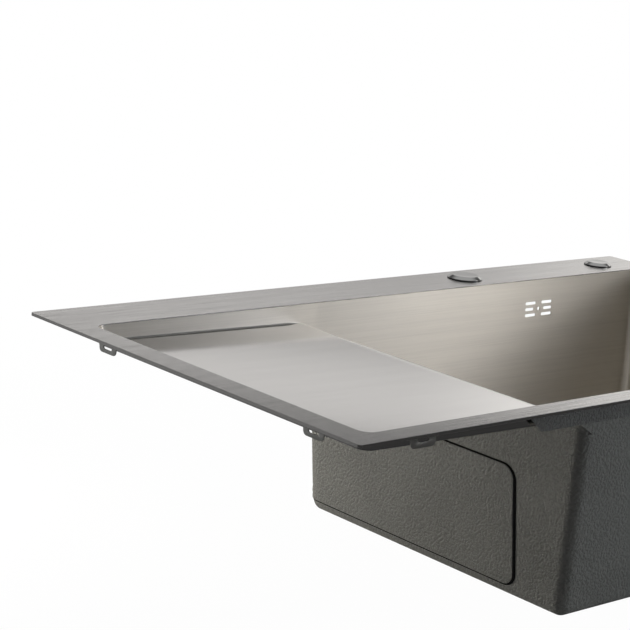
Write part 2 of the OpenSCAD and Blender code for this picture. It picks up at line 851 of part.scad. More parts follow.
// Plastic cup under the bowl, with its flange and cone
module waste_body() {
    cup_r = drain_hole_d / 2 + body_t;
    tail_r = tail_d / 2;
    color([0.85, 0.85, 0.83])
        at_drain()
            rotate_extrude()
                polygon([[cup_r - body_t, body_z], [flange_d / 2, body_z], [flange_d / 2, body_z - body_t],
                    [cup_r, body_z - body_t], [cup_r, cup_z], [tail_r, tail_z], [tail_r - body_t, tail_z],
                    [cup_r - body_t, cup_z]]);
}

// Outlet tail, joined to the cone's lower end
module waste_tail() {
    color([0.85, 0.85, 0.83])
        at_drain() translate([0, 0, tail_z - tail_l]) ring(tail_d / 2, tail_d / 2 - body_t, tail_l);
}

// Cross in the cup that carries the screw's insert: a hub on three ribs
module waste_hub() {
    color([0.85, 0.85, 0.83])
        at_drain()
            difference() {
                union() {
                    translate([0, 0, hub_z]) cylinder(d = hub_d, h = hub_h);
                    intersection() {
                        for (a = [0, 120, 240])
                            rotate([0, 0, a])
                                translate([0, -rib_w / 2, hub_z]) cube([drain_hole_d, rib_w, hub_h]);
                        translate([0, 0, hub_z]) cylinder(d = drain_hole_d, h = hub_h);
                    }
                }
                translate([0, 0, hub_z - cut]) cylinder(d = insert_d, h = hub_h + 2 * cut);
            }
}

module screw_insert() {
    color([0.75, 0.62, 0.35])
        at_drain()
            translate([0, 0, hub_z]) ring(insert_d / 2, screw_d / 2 + screw_fit, hub_h);
}

module clamp_screw() {
    color([0.65, 0.65, 0.65])
        at_drain() {
            translate([0, 0, hub_z - screw_end])
                cylinder(d = screw_d, h = dish_floor_z - hub_z + screw_end + skin);
            difference() {
                translate([0, 0, dish_floor_z]) cylinder(d = head_d, h = head_h);
                translate([-head_d, -driver_slot / 2, dish_floor_z + head_h - driver_slot])
                    cube([2 * head_d, driver_slot, 2 * driver_slot]);
            }
        }
}

// Lift-out basket: a perforated cup with a rolled edge
module strainer_basket() {
    r = basket_cup_d / 2;
    wall_t = dish_t * 0.75;
    color([0.72, 0.72, 0.72])
        at_drain()
            difference() {
                union() {
                    translate([0, 0, basket_z]) ring(r, r - wall_t, basket_h);
                    translate([0, 0, basket_z]) cylinder(r = r, h = wall_t);
                    translate([0, 0, basket_top_z - wall_t]) ring(basket_d / 2 - wall_t, r - wall_t, wall_t);
                    translate([0, 0, basket_top_z - wall_t / 2])
                        rotate_extrude() translate([basket_d / 2 - wall_t, 0]) circle(wall_t);
                }
                for (k = [0 : len(basket_ring_holes) - 1], i = [0 : basket_ring_holes[k] - 1])
                    rotate([0, 0, i * 360 / basket_ring_holes[k]])
                        translate([basket_ring_r + k * basket_ring_pitch, 0, basket_z - cut])
                            cylinder(d = basket_hole_d, h = 2 * cut);
                for (i = [0 : basket_slots - 1])
                    rotate([0, 0, (i + 0.5) * 360 / basket_slots])
                        translate([r - cut, -basket_slot_w / 2, basket_z + basket_slot_margin])
                            cube([2 * cut, basket_slot_w, basket_h - 2 * basket_slot_margin]);
                translate([0, 0, basket_z - cut]) cylinder(d = stem_d, h = 2 * cut);
            }
}

// Rubber stopper on the dish's floor, hollow over the screw's head
module basket_stopper() {
    color([0.12, 0.12, 0.12])
        at_drain()
            difference() {
                translate([0, 0, dish_floor_z]) cylinder(d = stopper_d, h = stopper_t);
                translate([0, 0, dish_floor_z - head_room])
                    cylinder(d = head_d + 2 * head_room, h = head_h + 1.4 * head_room);
            }
}

// Stem and knob that lift the basket
module basket_knob() {
    h = basket_h + knob_rise;
    r = knob_d / 2;
    color([0.6, 0.6, 0.6])
        at_drain()
            translate([0, 0, basket_z])
                rotate_extrude()
                    polygon([[0, 0], [stem_d / 2, 0], [stem_d / 2, h - knob_h - knob_bevel],
                        [r - knob_soft, h - knob_h], [r, h - knob_h + knob_bevel],
                        [r - knob_soft, h - knob_soft], [r - knob_soft - knob_bevel, h], [0, h]]);
}

rim_plate();
drainer_tray();
bowl();
rear_panel();
bowl_floor();
bowl_coating();
front_rail();
tabs_front();
tabs_left();
tabs_right();
tabs_rear();
pad_left();
pad_right();
pad_rear();
pad_bottom();
tap_cover_cap();
tap_cover_seal();
tap_cover_collar();
small_cover_cap();
small_cover_seal();
small_cover_collar();
strainer_dish();
flange_gasket();
waste_body();
waste_hub();
waste_tail();
body_gasket();
clamp_screw();
screw_insert();
strainer_basket();
basket_stopper();
basket_knob();
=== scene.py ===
import logging
import math
from contextlib import contextmanager
from dataclasses import dataclass
from enum import Enum
from typing import Any, Iterator

import bmesh
import bpy
import numpy as np
from mathutils import Matrix, Vector


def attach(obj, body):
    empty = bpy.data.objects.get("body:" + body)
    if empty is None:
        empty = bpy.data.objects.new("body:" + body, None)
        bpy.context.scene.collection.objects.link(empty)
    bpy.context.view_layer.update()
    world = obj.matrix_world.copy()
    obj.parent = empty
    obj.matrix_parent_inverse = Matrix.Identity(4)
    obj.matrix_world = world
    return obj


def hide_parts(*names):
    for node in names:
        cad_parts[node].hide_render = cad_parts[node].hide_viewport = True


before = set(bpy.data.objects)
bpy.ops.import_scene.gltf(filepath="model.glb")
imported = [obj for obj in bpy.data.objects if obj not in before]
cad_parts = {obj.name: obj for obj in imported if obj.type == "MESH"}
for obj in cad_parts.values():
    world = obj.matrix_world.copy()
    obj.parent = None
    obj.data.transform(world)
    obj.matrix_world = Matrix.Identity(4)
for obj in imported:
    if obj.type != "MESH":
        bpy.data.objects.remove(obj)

Piece = bpy.types.Object
Pair = tuple[float, float]
Triple = tuple[float, float, float]
Box = tuple[float, float, float, float]  # both limits in one direction, then both in the other

LOG = logging.getLogger("sink")
MM = 0.001
BODY = "sink"
CUT_REACH = 9.0  # how far a cutter stands out on each side of a sheet, in millimetres
FLAT_ANGLE = 0.5  # degrees up to which neighbouring faces of the CAD's meshes become one
SMOOTH_ANGLE = 30.0  # degrees up to which an edge is shaded smoothly
BEVEL_ANGLE = 35.0  # degrees from which an edge is softened
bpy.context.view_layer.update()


# Shader sockets in Python expressions

class Socket:
    """An output socket that takes part in expressions, each of which adds its Math node."""

    def __init__(self, tree: "Tree", out: bpy.types.NodeSocket) -> None:
        """Keep the tree and its output socket."""
        self.tree = tree
        self.out = out

    def math(self, operation: str, *values: Any) -> "Socket":
        """Add a Math node.

        Args:
            operation: Blender's name of the operation.
            values: The node's inputs in order, numbers or sockets; the socket itself where none is given.

        Returns:
            The node's result.
        """
        return self.tree.node("ShaderNodeMath", {"operation": operation}, dict(enumerate(values or (self,))))

    def __add__(self, other: Any) -> "Socket":
        """self + other."""
        return self.math("ADD", self, other)

    def __sub__(self, other: Any) -> "Socket":
        """self - other."""
        return self.math("SUBTRACT", self, other)

    def __rsub__(self, other: Any) -> "Socket":
        """other - self."""
        return self.math("SUBTRACT", other, self)

    def __mul__(self, other: Any) -> "Socket":
        """self * other."""
        return self.math("MULTIPLY", self, other)

    __radd__ = __add__
    __rmul__ = __mul__

    def at_most(self, other: Any) -> "Socket":
        """The smaller of the two."""
        return self.math("MINIMUM", self, other)

    def ramp(self, low: float, high: float) -> "Socket":
        """0 below low, 1 above high and smooth between them."""
        return self.tree.node("ShaderNodeMapRange", {"interpolation_type": "SMOOTHSTEP"},
                              {"Value": self, "From Min": low, "From Max": high})


class Tree:
    """A node tree that is filled through one method, node."""

    def __init__(self, tree: bpy.types.NodeTree) -> None:
        """Empty the tree and keep it."""
        self.tree = tree
        tree.nodes.clear()

    def node(self, kind: str, settings: dict[str, Any] | None = None, inputs: dict[Any, Any] | None = None,
             out: int | str = 0) -> Socket:
        """Add any node.

        Args:
            kind: Blender's type of the node.
            settings: The node's own settings, set first.
            inputs: Values or sockets by the input's name or number.
            out: Name or number of the output that is returned.

        Returns:
            The chosen output, or the node's first input where it has no output.
        """
        node = self.tree.nodes.new(kind)
        for name, value in (settings or {}).items():
            setattr(node, name, value)
        for key, value in (inputs or {}).items():
            if isinstance(value, Socket):
                self.tree.links.new(value.out, node.inputs[key])
            else:
                node.inputs[key].default_value = value
        return Socket(self, node.outputs[out] if node.outputs else node.inputs[0])

    def mix(self, factor: Any, low: Any, high: Any) -> Socket:
        """A colour from low, at factor 0, to high, at factor 1."""
        return self.node("ShaderNodeMix", {"data_type": "RGBA"}, {0: factor, 6: low, 7: high}, out=2)

    def place(self, kind: str = "Object") -> Socket:
        """Texture coordinates of a kind."""
        return self.node("ShaderNodeTexCoord", out=kind)

    def ray(self, kind: str) -> Socket:
        """1 where the ray is of a kind, Camera, Glossy or Transmission."""
        return self.node("ShaderNodeLightPath", out=f"Is {kind} Ray")

    def part(self, vector: Socket, axis: str) -> Socket:
        """One component of a vector."""
        return self.node("ShaderNodeSeparateXYZ", None, {0: vector}, out=axis)

    def noise(self, place: Socket, scale: float, detail: float, rough: float = 0.5) -> Socket:
        """Noise from 0 to 1, with scale cells to a metre."""
        return self.node("ShaderNodeTexNoise", None,
                         {"Vector": place, "Scale": scale, "Detail": detail, "Roughness": rough})

    def bump(self, height: Socket, distance: float, strength: float = 1.0) -> Socket:
        """A normal that follows a height of up to distance metres."""
        return self.node("ShaderNodeBump", None,
                         {"Strength": strength, "Distance": distance, "Height": height})

    def glow(self, color: Any) -> Socket:
        """An emission of strength 1."""
        return self.node("ShaderNodeEmission", None, {"Color": color, "Strength": 1.0})

    def show(self, shader: Socket, kind: str = "Material") -> None:
        """Connect a shader to the output of a Material or World."""
        self.node("ShaderNodeOutput" + kind, None, {"Surface": shader})

    def principled(self, inputs: dict[str, Any]) -> None:
        """Show a Principled shader with the inputs given."""
        self.show(self.node("ShaderNodeBsdfPrincipled", None, inputs))


def rgb(red: float, green: float | None = None, blue: float | None = None) -> tuple[float, ...]:
    """A linear colour with its alpha, grey where only one number is given."""
    return (red, red if green is None else green, red if blue is None else blue, 1.0)


def shaded(color: Triple, factor: float) -> tuple[float, ...]:
    """A colour times a factor, at most 1."""
    return rgb(*(min(1.0, factor * c) for c in color))


def new_material(name: str) -> tuple[bpy.types.Material, Tree]:
    """A new material and its empty tree."""
    material = bpy.data.materials.new(name)
    material.use_nodes = True
    return material, Tree(material.node_tree)


class Grain(Enum):
    """Direction of a brushed finish: how fast its pattern changes along X, Y and Z, per metre."""

    ALONG_X = (10.0, 340.0, 900.0)
    NONE = (300.0, 300.0, 300.0)


@dataclass(frozen=True)
class Steel:
    """Bare steel with a drawn-out grain, whose reflections can be stretched up and down its walls."""

    name: str
    color: Triple
    roughness: float
    grain: Grain = Grain.ALONG_X
    streak: float = 0.35
    cloud: float = 0.08
    groove: float = 0.00005
    stretch: float = 0.0
    dark: float = 0.35
    wide_speed: float = 0.16
    fine_speed: float = 4.0

    def build(self) -> bpy.types.Material:
        """Make the material.

        Returns:
            Principled metal. With the grain g and wide patches p, both 0 to 1: tint goes from color to
            dark * color with t = streak (g - 1/2) + cloud p, roughness = r + streak (g - 1/2) / 3, and the
            height of the fine grooves is groove times a faster grain.
        """
        material, tree = new_material(self.name)
        place = tree.place()

        def drawn(speed: float, detail: float) -> Socket:
            """Noise that is drawn out along the grain, at a multiple of the grain's speed."""
            scale = tuple(speed * value for value in self.grain.value)
            along = tree.node("ShaderNodeMapping", None, {"Vector": place, "Scale": scale})
            return tree.noise(along, 1.0, detail, rough=0.7)

        grain, wide, fine = drawn(1.0, 4.0), drawn(self.wide_speed, 3.0), drawn(self.fine_speed, 1.0)
        dark = (grain - 0.5) * self.streak + wide.ramp(0.3, 0.75) * self.cloud
        tree.principled({"Base Color": tree.mix(dark, rgb(*self.color), shaded(self.color, self.dark)),
                         "Metallic": 1.0, "Roughness": (grain - 0.5) * (self.streak / 3) + self.roughness,
                         "Normal": tree.bump(fine, self.groove),
                         "Anisotropic": self.stretch, "Anisotropic Rotation": 0.25})
        return material


@dataclass(frozen=True)
class SprayedCoat:
    """Matt grey sound coat: round pebbles a millimetre or two across."""

    name: str
    color: Triple
    pebble: float = 380.0
    height: float = 0.0007
    roughness: float = 0.68
    shine: float = 0.35
    tints: Pair = (0.82, 1.18)
    fine_speed: float = 2.7
    cloud_scale: float = 14.0

    def build(self) -> bpy.types.Material:
        """Make the material.

        Returns:
            Principled plastic whose bump is noise of two sizes; its colour has painted shade, darker in the
            bump's valleys between the pebbles, and random cloudy tone.
        """
        material, tree = new_material(self.name)
        place = tree.place()
        coarse, cloud = tree.noise(place, self.pebble, 2.0), tree.noise(place, self.cloud_scale, 3.0)
        fine = tree.noise(place, self.pebble * self.fine_speed, 1.0)
        # painted shade: the colour darkens with the coarse bump's valleys between the pebbles; the cloud term
        # is random tone
        light = coarse.ramp(0.35, 0.7) * 0.55 + cloud.ramp(0.3, 0.7) * 0.25
        tree.principled({"Base Color": tree.mix(light, *(shaded(self.color, tint) for tint in self.tints)),
                         "Roughness": fine * 0.1 + self.roughness, "Specular IOR Level": self.shine,
                         "Normal": tree.bump(coarse.ramp(0.32, 0.68) + fine * 0.35, self.height)})
        return material


@dataclass(frozen=True)
class Moulded:
    """Rubber or plastic with a faint moulded texture."""

    name: str
    color: Triple
    roughness: float
    texture: float = 900.0
    depth: float = 0.12
    shine: float = 0.5
    tints: Pair = (0.88, 1.1)
    drift: float = 0.12
    drift_scale: float = 30.0
    groove: float = 0.0001

    def build(self) -> bpy.types.Material:
        """Make the material.

        Returns:
            Principled plastic with a fine bump, and a tint and roughness that drift a little.
        """
        material, tree = new_material(self.name)
        place = tree.place()
        fine, drift = tree.noise(place, self.texture, 2.0), tree.noise(place, self.drift_scale, 2.0)
        tint = tree.mix(drift.ramp(0.3, 0.7), *(shaded(self.color, tint) for tint in self.tints))
        rough = drift * self.drift + (self.roughness - self.drift / 2)
        tree.principled({"Base Color": tint, "Roughness": rough, "Specular IOR Level": self.shine,
                         "Normal": tree.bump(fine, self.groove, self.depth)})
        return material


class Finish(Enum):
    """The finishes of this sink's pieces."""

    SATIN = Steel("sink_satin_steel", (0.47, 0.46, 0.45), 0.22, streak=0.65, cloud=0.08)
    DRAINER = Steel("sink_drainer_steel", (0.47, 0.46, 0.45), 0.12, streak=0.06, cloud=0.05, groove=0.00001)
    BOWL = Steel("sink_bowl_steel", (0.75, 0.715, 0.655), 0.42, streak=0.35, groove=0.00004, stretch=0.85)
    # dark steel laid on the drainer's fold: painted shade in the fold
    FOLD = Steel("sink_fold_painted_shade_steel", (0.22, 0.22, 0.21), 0.35, streak=0.2, groove=0.00002)
    BRIGHT = Steel("sink_bright_steel", (0.70, 0.69, 0.68), 0.14, Grain.NONE, 0.10, 0.04, 0.000004)
    CAP = Steel("sink_cap_steel", (0.34, 0.34, 0.335), 0.16, Grain.NONE, 0.10, 0.04, 0.000004)
    RAW = Steel("sink_raw_steel", (0.52, 0.52, 0.50), 0.42, Grain.ALONG_X, 0.3, 0.2, 0.00005)
    COAT = SprayedCoat("sink_pebbled_coat", (0.165, 0.165, 0.155))
    PAINT = SprayedCoat("sink_grey_paint", (0.14, 0.14, 0.135), 420.0, 0.0008)
    RUBBER = Moulded("sink_black_rubber", (0.015, 0.015, 0.015), 0.6)
    # black bead at the pad's edge: painted shadow
    GLUE = Moulded("sink_black_painted_shadow", (0.010, 0.010, 0.010), 0.8, shine=0.04)
    BLACK = Moulded("sink_black_plastic", (0.04, 0.04, 0.04), 0.5)
    WHITE = Moulded("sink_white_plastic", (0.80, 0.80, 0.78), 0.4)
    BRASS = Steel("sink_yellow_brass", (0.70, 0.52, 0.24), 0.3, Grain.NONE, 0.2, 0.1, 0.00001)

    def material(self) -> bpy.types.Material:
        """The finish's material, made on first use."""
        return bpy.data.materials.get(self.value.name) or self.value.build()


# Surfaces

@contextmanager
def edited(mesh: bpy.types.Mesh) -> Iterator[bmesh.types.BMesh]:
    """The mesh opened for editing, and written back at the end."""
    work = bmesh.new()
    work.from_mesh(mesh)
    yield work
    work.to_mesh(mesh)
    work.free()


def placed(name: str, data: Any) -> Piece:
    """A new object in the scene that shows the data."""
    thing = bpy.data.objects.new(name, data)
    bpy.context.scene.collection.objects.link(thing)
    return thing


@dataclass
class Surface:
    """Points in millimetres and quads over them."""

    points: np.ndarray
    quads: np.ndarray

    @classmethod
    def grid(cls, points: np.ndarray, closed: bool = False, keep: np.ndarray | None = None) -> "Surface":
        """Quads over a grid of points.

        Args:
            points: Array of rows by columns by 3.
            closed: True where the last column meets the first.
            keep: Rows by columns of booleans, False where a quad is left out.

        Returns:
            The surface: quad (i, j) has the corners (i, j), (i, j + 1), (i + 1, j + 1), (i + 1, j).
        """
        rows, columns = points.shape[:2]
        number = np.arange(rows * columns).reshape(rows, columns)
        if closed:
            number = np.concatenate([number, number[:, :1]], axis=1)
        quads = np.stack([number[:-1, :-1], number[:-1, 1:], number[1:, 1:], number[1:, :-1]], axis=-1)
        chosen = quads.reshape(-1, 4) if keep is None else quads[keep]
        return cls(points.reshape(-1, 3), chosen)

    def __add__(self, other: "Surface") -> "Surface":
        """Both surfaces as one."""
        return Surface(np.concatenate([self.points, other.points]),
                       np.concatenate([self.quads, other.quads + len(self.points)]))

    def flipped(self) -> "Surface":
        """The surface with its faces turned round."""
        return Surface(self.points, self.quads[:, ::-1])

    def to_object(self, name: str, merge: float = 0.002) -> Piece:
        """Put the surface in a mesh, with equal points merged.

        Args:
            name: Name of the piece.
            merge: Distance in millimetres up to which points are one.

        Returns:
            The new object.
        """
        mesh = bpy.data.meshes.new(name)
        mesh.from_pydata(self.points * MM, [], self.quads)
        with edited(mesh) as work:
            bmesh.ops.remove_doubles(work, verts=work.verts, dist=merge * MM)
            bmesh.ops.dissolve_degenerate(work, edges=work.edges, dist=1e-7)
            loose = [v for v in work.verts if not v.link_faces]
            bmesh.ops.delete(work, geom=loose, context="VERTS")
        return placed(name, mesh)


@dataclass(frozen=True)
class Loop:
    """Samples round a rectangle with rounded corners: front side, right side, rear side, left side, and the
    corner before each side, anticlockwise from the front left corner."""

    long: int
    side: int
    corner: int

    @property
    def sides(self) -> tuple[int, int, int, int]:
        """Each side's number of samples."""
        return (self.long, self.side, self.long, self.side)

    def directions(self) -> np.ndarray:
        """Outward unit vectors: a corner turns by a quarter, and a side keeps its direction."""
        quarter = math.pi / 2
        angle = np.concatenate([part for i, count in enumerate(self.sides) for part in (
            math.pi + i * quarter + quarter * np.arange(self.corner) / self.corner,
            np.full(count, math.pi + (i + 1) * quarter))])
        return np.stack([np.cos(angle), np.sin(angle)], axis=-1)

    def centres(self, x0: float, x1: float, y0: float, y1: float) -> np.ndarray:
        """Points that a radius is added to: c(t) = a + t (b - a) along a side, and its end at a corner.

        Args:
            x0: Left of the corners' centres.
            x1: Right.
            y0: Front.
            y1: Rear.

        Returns:
            Array of samples by 2.
        """
        ends = np.array([(x0, y0), (x1, y0), (x1, y1), (x0, y1), (x0, y0)], float)
        parts = []
        for a, b, count in zip(ends, ends[1:], self.sides):
            parts += [np.tile(a, (self.corner, 1)), a + (b - a) * (np.arange(count) / count)[:, None]]
        return np.concatenate(parts)

    def part_of(self) -> np.ndarray:
        """The number of the part that each sample starts in, 0 for the front left corner."""
        counts = [n for count in self.sides for n in (self.corner, count)]
        return np.repeat(np.arange(len(counts)), counts)


def raised(flat: np.ndarray, z: Any) -> np.ndarray:
    """Points (x, y) with a level, one number or one for each point, added to them."""
    return np.concatenate([flat, np.broadcast_to(z, flat.shape[:-1])[..., None]], axis=-1)


def lathe(profile: np.ndarray, centre: Pair, steps: int = 128) -> Surface:
    """Turn a profile round a vertical line: (r, z) goes to (cx + r cos a, cy + r sin a, z).

    Args:
        profile: Points (r, z) in millimetres.
        centre: The line's place (cx, cy).
        steps: Number of steps round the turn.

    Returns:
        The surface.
    """
    angle = np.linspace(0, 2 * math.pi, steps, endpoint=False)
    r, z = profile[:, 0, None], profile[:, 1, None]
    points = np.stack([centre[0] + r * np.cos(angle), centre[1] + r * np.sin(angle), z + 0 * angle], axis=-1)
    return Surface.grid(points, closed=True)


def arc(cx: float, cz: float, r: float, start: float, end: float, steps: int) -> np.ndarray:
    """Points of an arc: (cx + r cos a, cz + r sin a) with a in degrees from start to end."""
    a = np.radians(np.linspace(start, end, steps + 1))
    return np.stack([cx + r * np.cos(a), cz + r * np.sin(a)], axis=-1)


def rounded(r: float, top: float, steps: int) -> list[Pair]:
    """A quarter round from (0, top - r) to (r, top): (r (1 - cos a), top - r (1 - sin a))."""
    angles = np.radians(np.linspace(0, 90, steps))
    return [(r * (1 - math.cos(a)), top - r * (1 - math.sin(a))) for a in angles]


def baked(piece: Piece) -> Piece:
    """Apply the piece's modifiers to its mesh."""
    bpy.context.view_layer.update()
    mesh = bpy.data.meshes.new_from_object(piece.evaluated_get(bpy.context.evaluated_depsgraph_get()))
    piece.modifiers.clear()
    piece.data = mesh
    return piece


def thicken(piece: Piece, thickness: float) -> Piece:
    """Close an open surface with a wall behind its faces, of a thickness in millimetres."""
    wall = piece.modifiers.new("wall", "SOLIDIFY")
    wall.thickness = thickness * MM
    wall.offset = -1.0
    wall.use_even_offset = True
    wall.use_quality_normals = True
    return baked(piece)


def cut(piece: Piece, cutter: Piece) -> Piece:
    """Take a closed cutter out of a closed piece, and remove the cutter."""
    boolean = piece.modifiers.new("cut", "BOOLEAN")
    boolean.operation = "DIFFERENCE"
    boolean.solver = "EXACT"
    boolean.object = cutter
    baked(piece)
    bpy.data.objects.remove(cutter)
    return piece


def joined(piece: Piece, other: Piece) -> Piece:
    """Put both meshes in the first piece, and remove the second."""
    with edited(piece.data) as work:
        work.from_mesh(other.data)
    bpy.data.objects.remove(other)
    return piece


def outwards(piece: Piece) -> Piece:
    """Turn the faces of a closed piece outwards: its volume, the sum of a . (b x c) / 6, is made positive."""
    with edited(piece.data) as work:
        if work.calc_volume(signed=True) < 0:
            bmesh.ops.reverse_faces(work, faces=work.faces)
    return piece


def tube(rings: list[np.ndarray], name: str, merge: float = 0.002) -> Piece:
    """A closed piece through rings of points, joined one after the other, with its faces outwards."""
    return outwards(Surface.grid(np.stack(rings), closed=True).to_object(name, merge))


def finished(piece: Piece, finish: Finish, slot: str, body: str, *nodes: str,
             smooth: float = SMOOTH_ANGLE) -> Piece:
    """Dress a piece and tie it to the frame.

    Args:
        piece: The piece, in place.
        finish: Its finish.
        slot: The record's material slot; not used.
        body: The body that it rides on.
        nodes: The CAD nodes that it stands for.
        smooth: Angle in degrees up to which faces are shaded smoothly.

    Returns:
        The piece.
    """
    piece.data.materials.clear()
    piece.data.materials.append(finish.material())
    piece.data.shade_smooth()
    piece.data.set_sharp_from_angle(angle=math.radians(smooth))
    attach(piece, body)
    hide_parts(*nodes)
    LOG.info("%s: %d faces", piece.name, len(piece.data.polygons))
    return piece


def refined(node: str, finish: Finish, slot: str, body: str, bevel: float) -> Piece:
    """Stand in for a CAD node with its own form, joined up, softened at its edges and smoothly shaded.

    Args:
        node: Name of the node.
        finish: Its finish.
        slot: The record's material slot.
        body: The body that it rides on.
        bevel: Width of the softened edges in millimetres.

    Returns:
        The piece.
    """
    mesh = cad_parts[node].data.copy()
    with edited(mesh) as work:
        bmesh.ops.remove_doubles(work, verts=work.verts, dist=1e-6)
        bmesh.ops.dissolve_limit(work, angle_limit=math.radians(FLAT_ANGLE), verts=work.verts,
                                 edges=work.edges)
    piece = placed(node + "_finished", mesh)
    soft = piece.modifiers.new("edges", "BEVEL")
    soft.width = bevel * MM
    soft.segments = 2
    soft.limit_method = "ANGLE"
    soft.angle_limit = math.radians(BEVEL_ANGLE)
    return finished(baked(piece), finish, slot, body, node)


# The sink

@dataclass(frozen=True)
class Plan:
    """Sizes that the pressed forms share, in millimetres, as in the part's source."""

    rim_l: float = 860.0
    rim_w: float = 480.0
    rim_h: float = 3.0
    rim_corner_r: float = 4.0
    sheet_t: float = 1.0
    lip_t: float = 1.2
    strip_left: float = 28.0
    strip_right: float = 29.0
    strip_front: float = 23.0
    deck_w: float = 68.0
    tray_l: float = 273.0
    tray_depth: float = 16.0
    tray_fall: float = 4.5
    tray_corner_r: float = 12.0
    tray_fold_r: float = 2.0
    nose_r: float = 17.0
    bowl_depth: float = 221.5
    bowl_corner_r: float = 10.0
    floor_fall: float = 3.0
    recess_depth: float = 3.0
    drain_back: float = 112.0
    drain_hole_d: float = 90.0
    ledge_r: float = 60.0
    tap_hole_d: float = 35.0
    tap_cover_d: float = 40.0
    small_hole_d: float = 28.0
    small_hole_inset: float = 63.0
    small_cover_d: float = 33.5
    slant: float = math.tan(math.radians(4.0))

    @property
    def edge(self) -> Box:
        """The rim's outline: left, right, front, rear."""
        front = -self.lip_t / 2
        return (-self.rim_l / 2, self.rim_l / 2, front, front + self.rim_w)

    @property
    def opening(self) -> Box:
        """The opening's outline: left, right, front, rear."""
        left, right, front, rear = self.edge
        return (left + self.strip_left, right - self.strip_right, front + self.strip_front,
                rear - self.deck_w)

    @property
    def middle_y(self) -> float:
        """Middle of the opening's width."""
        return (self.opening[2] + self.opening[3]) / 2

    @property
    def half_y(self) -> float:
        """Half of the opening's width."""
        return (self.opening[3] - self.opening[2]) / 2

    @property
    def sheet_z(self) -> float:
        """Underside of the rim's sheet."""
        return self.rim_h - self.sheet_t

    @property
    def nose_z(self) -> float:
        """Top of the nose."""
        return self.rim_h - self.tray_depth - self.tray_fall

    @property
    def seam_z(self) -> float:
        """Level of the seam below the nose."""
        return self.nose_z - self.nose_r

    @property
    def floor_z(self) -> float:
        """Foot of the bowl's walls."""
        return self.rim_h - self.bowl_depth

    @property
    def slope_z(self) -> float:
        """Lower end of the bowl's floor."""
        return self.floor_z - self.floor_fall

    @property
    def ledge_z(self) -> float:
        """Floor of the recess."""
        return self.slope_z - self.recess_depth

    @property
    def bowl_x0(self) -> float:
        """Left end of the bowl, counted at the top of the rim."""
        return self.opening[0] + self.tray_l

    @property
    def mouth_x(self) -> float:
        """Left wall of the bowl at the seam."""
        return self.bowl_x0 + self.lean(self.seam_z)

    @property
    def seam_x(self) -> float:
        """Where the drainer's long walls meet the bowl's."""
        return self.mouth_x + self.bowl_corner_r

    @property
    def mouth_half(self) -> float:
        """Half of the bowl's width at the seam."""
        return self.half_y - self.lean(self.seam_z)

    @property
    def drain(self) -> Pair:
        """Middle of the waste."""
        return ((self.bowl_x0 + self.opening[1]) / 2, self.opening[3] - self.drain_back)

    @property
    def tap_hole(self) -> Pair:
        """Middle of the tap hole."""
        return (self.drain[0], self.edge[3] - self.deck_w / 2)

    @property
    def small_hole(self) -> Pair:
        """Middle of the small hole in the deck."""
        return (self.edge[1] - self.small_hole_inset, self.tap_hole[1])

    def lean(self, z: Any) -> Any:
        """How far a wall leans in at a level: (rim_h - z) * slant."""
        return (self.rim_h - z) * self.slant

    def tray_z(self, x: Any) -> Any:
        """Level of the drainer's floor: it falls evenly by tray_fall up to the nose."""
        share = (x - self.opening[0]) / (self.mouth_x - self.nose_r - self.opening[0])
        return self.rim_h - self.tray_depth - self.tray_fall * np.minimum(share, 1.0)


@dataclass(frozen=True)
class Rim:
    """The flat rim: rolled lip, soft edge at the opening and two holes in its deck. lip_r, foot_r and edge_r
    soften the lip's top, its foot and the opening; margin, under and lip_gap are flat runs beside them, and
    weld_h is the slope from the sheet to the lip's back."""

    plan: Plan
    lip_r: float = 0.2
    edge_r: float = 0.35
    foot_r: float = 0.15
    margin: float = 0.3
    under: float = 0.6
    lip_gap: float = 0.1
    weld_h: float = 0.4
    loop: Loop = Loop(long=60, side=36, corner=10)

    def ring(self, outer: bool, inset: float, z: float) -> np.ndarray:
        """One line round the rim.

        Args:
            outer: True for the rim's own outline, False for the opening's.
            inset: Distance from the outline into the sheet.
            z: Level.

        Returns:
            Points c + (r - inset) e of the rim's outline, or c + (r + inset) e of the opening's.
        """
        p = self.plan
        e = self.loop.directions()
        x0, x1, y0, y1 = p.edge if outer else p.opening
        if outer:
            r = p.rim_corner_r
            return raised(self.loop.centres(x0 + r, x1 - r, y0 + r, y1 - r) + (r - inset) * e, z)
        left_r, right_r = p.tray_corner_r, p.bowl_corner_r
        centre = self.loop.centres(x0 + left_r, x1 - right_r, y0, y1)
        r = left_r + (right_r - left_r) * self.loop.centres(0.0, 1.0, y0, y1)[:, 0]
        centre[:, 1] = np.clip(centre[:, 1], y0 + r, y1 - r)
        return raised(centre + (r + inset)[:, None] * e, z)

    def build(self) -> Piece:
        """Make the rim: lines round it, in the order of its section, joined into a closed ring."""
        p = self.plan
        top, sheet, foot = p.rim_h, p.sheet_z, self.foot_r
        lip = [(p.lip_t, foot), (p.lip_t - foot, 0.0), (foot, 0.0), (0.0, foot),
               (0.0, top - self.lip_r - self.lip_gap), *rounded(self.lip_r, top, 8),
               (self.lip_r + self.margin, top)]
        edge = [(self.edge_r + self.margin, top), *rounded(self.edge_r, top, 7)[::-1],
                (0.0, sheet), (self.under, sheet)]
        back = [(p.lip_t + self.under, sheet), (p.lip_t, sheet - self.weld_h), (p.lip_t, foot)]
        rings = [self.ring(outer, *point) for outer, part in ((True, lip), (False, edge), (True, back))
                 for point in part]
        piece = tube(rings, "rim")
        for centre, d in ((p.tap_hole, p.tap_hole_d), (p.small_hole, p.small_hole_d)):
            profile = np.array([(0, -CUT_REACH), (d / 2, -CUT_REACH), (d / 2, CUT_REACH), (0, CUT_REACH)])
            cut(piece, outwards(lathe(profile, centre, 96).to_object("hole")))
        return finished(piece, Finish.SATIN, "satin_steel", BODY, "rim_plate")


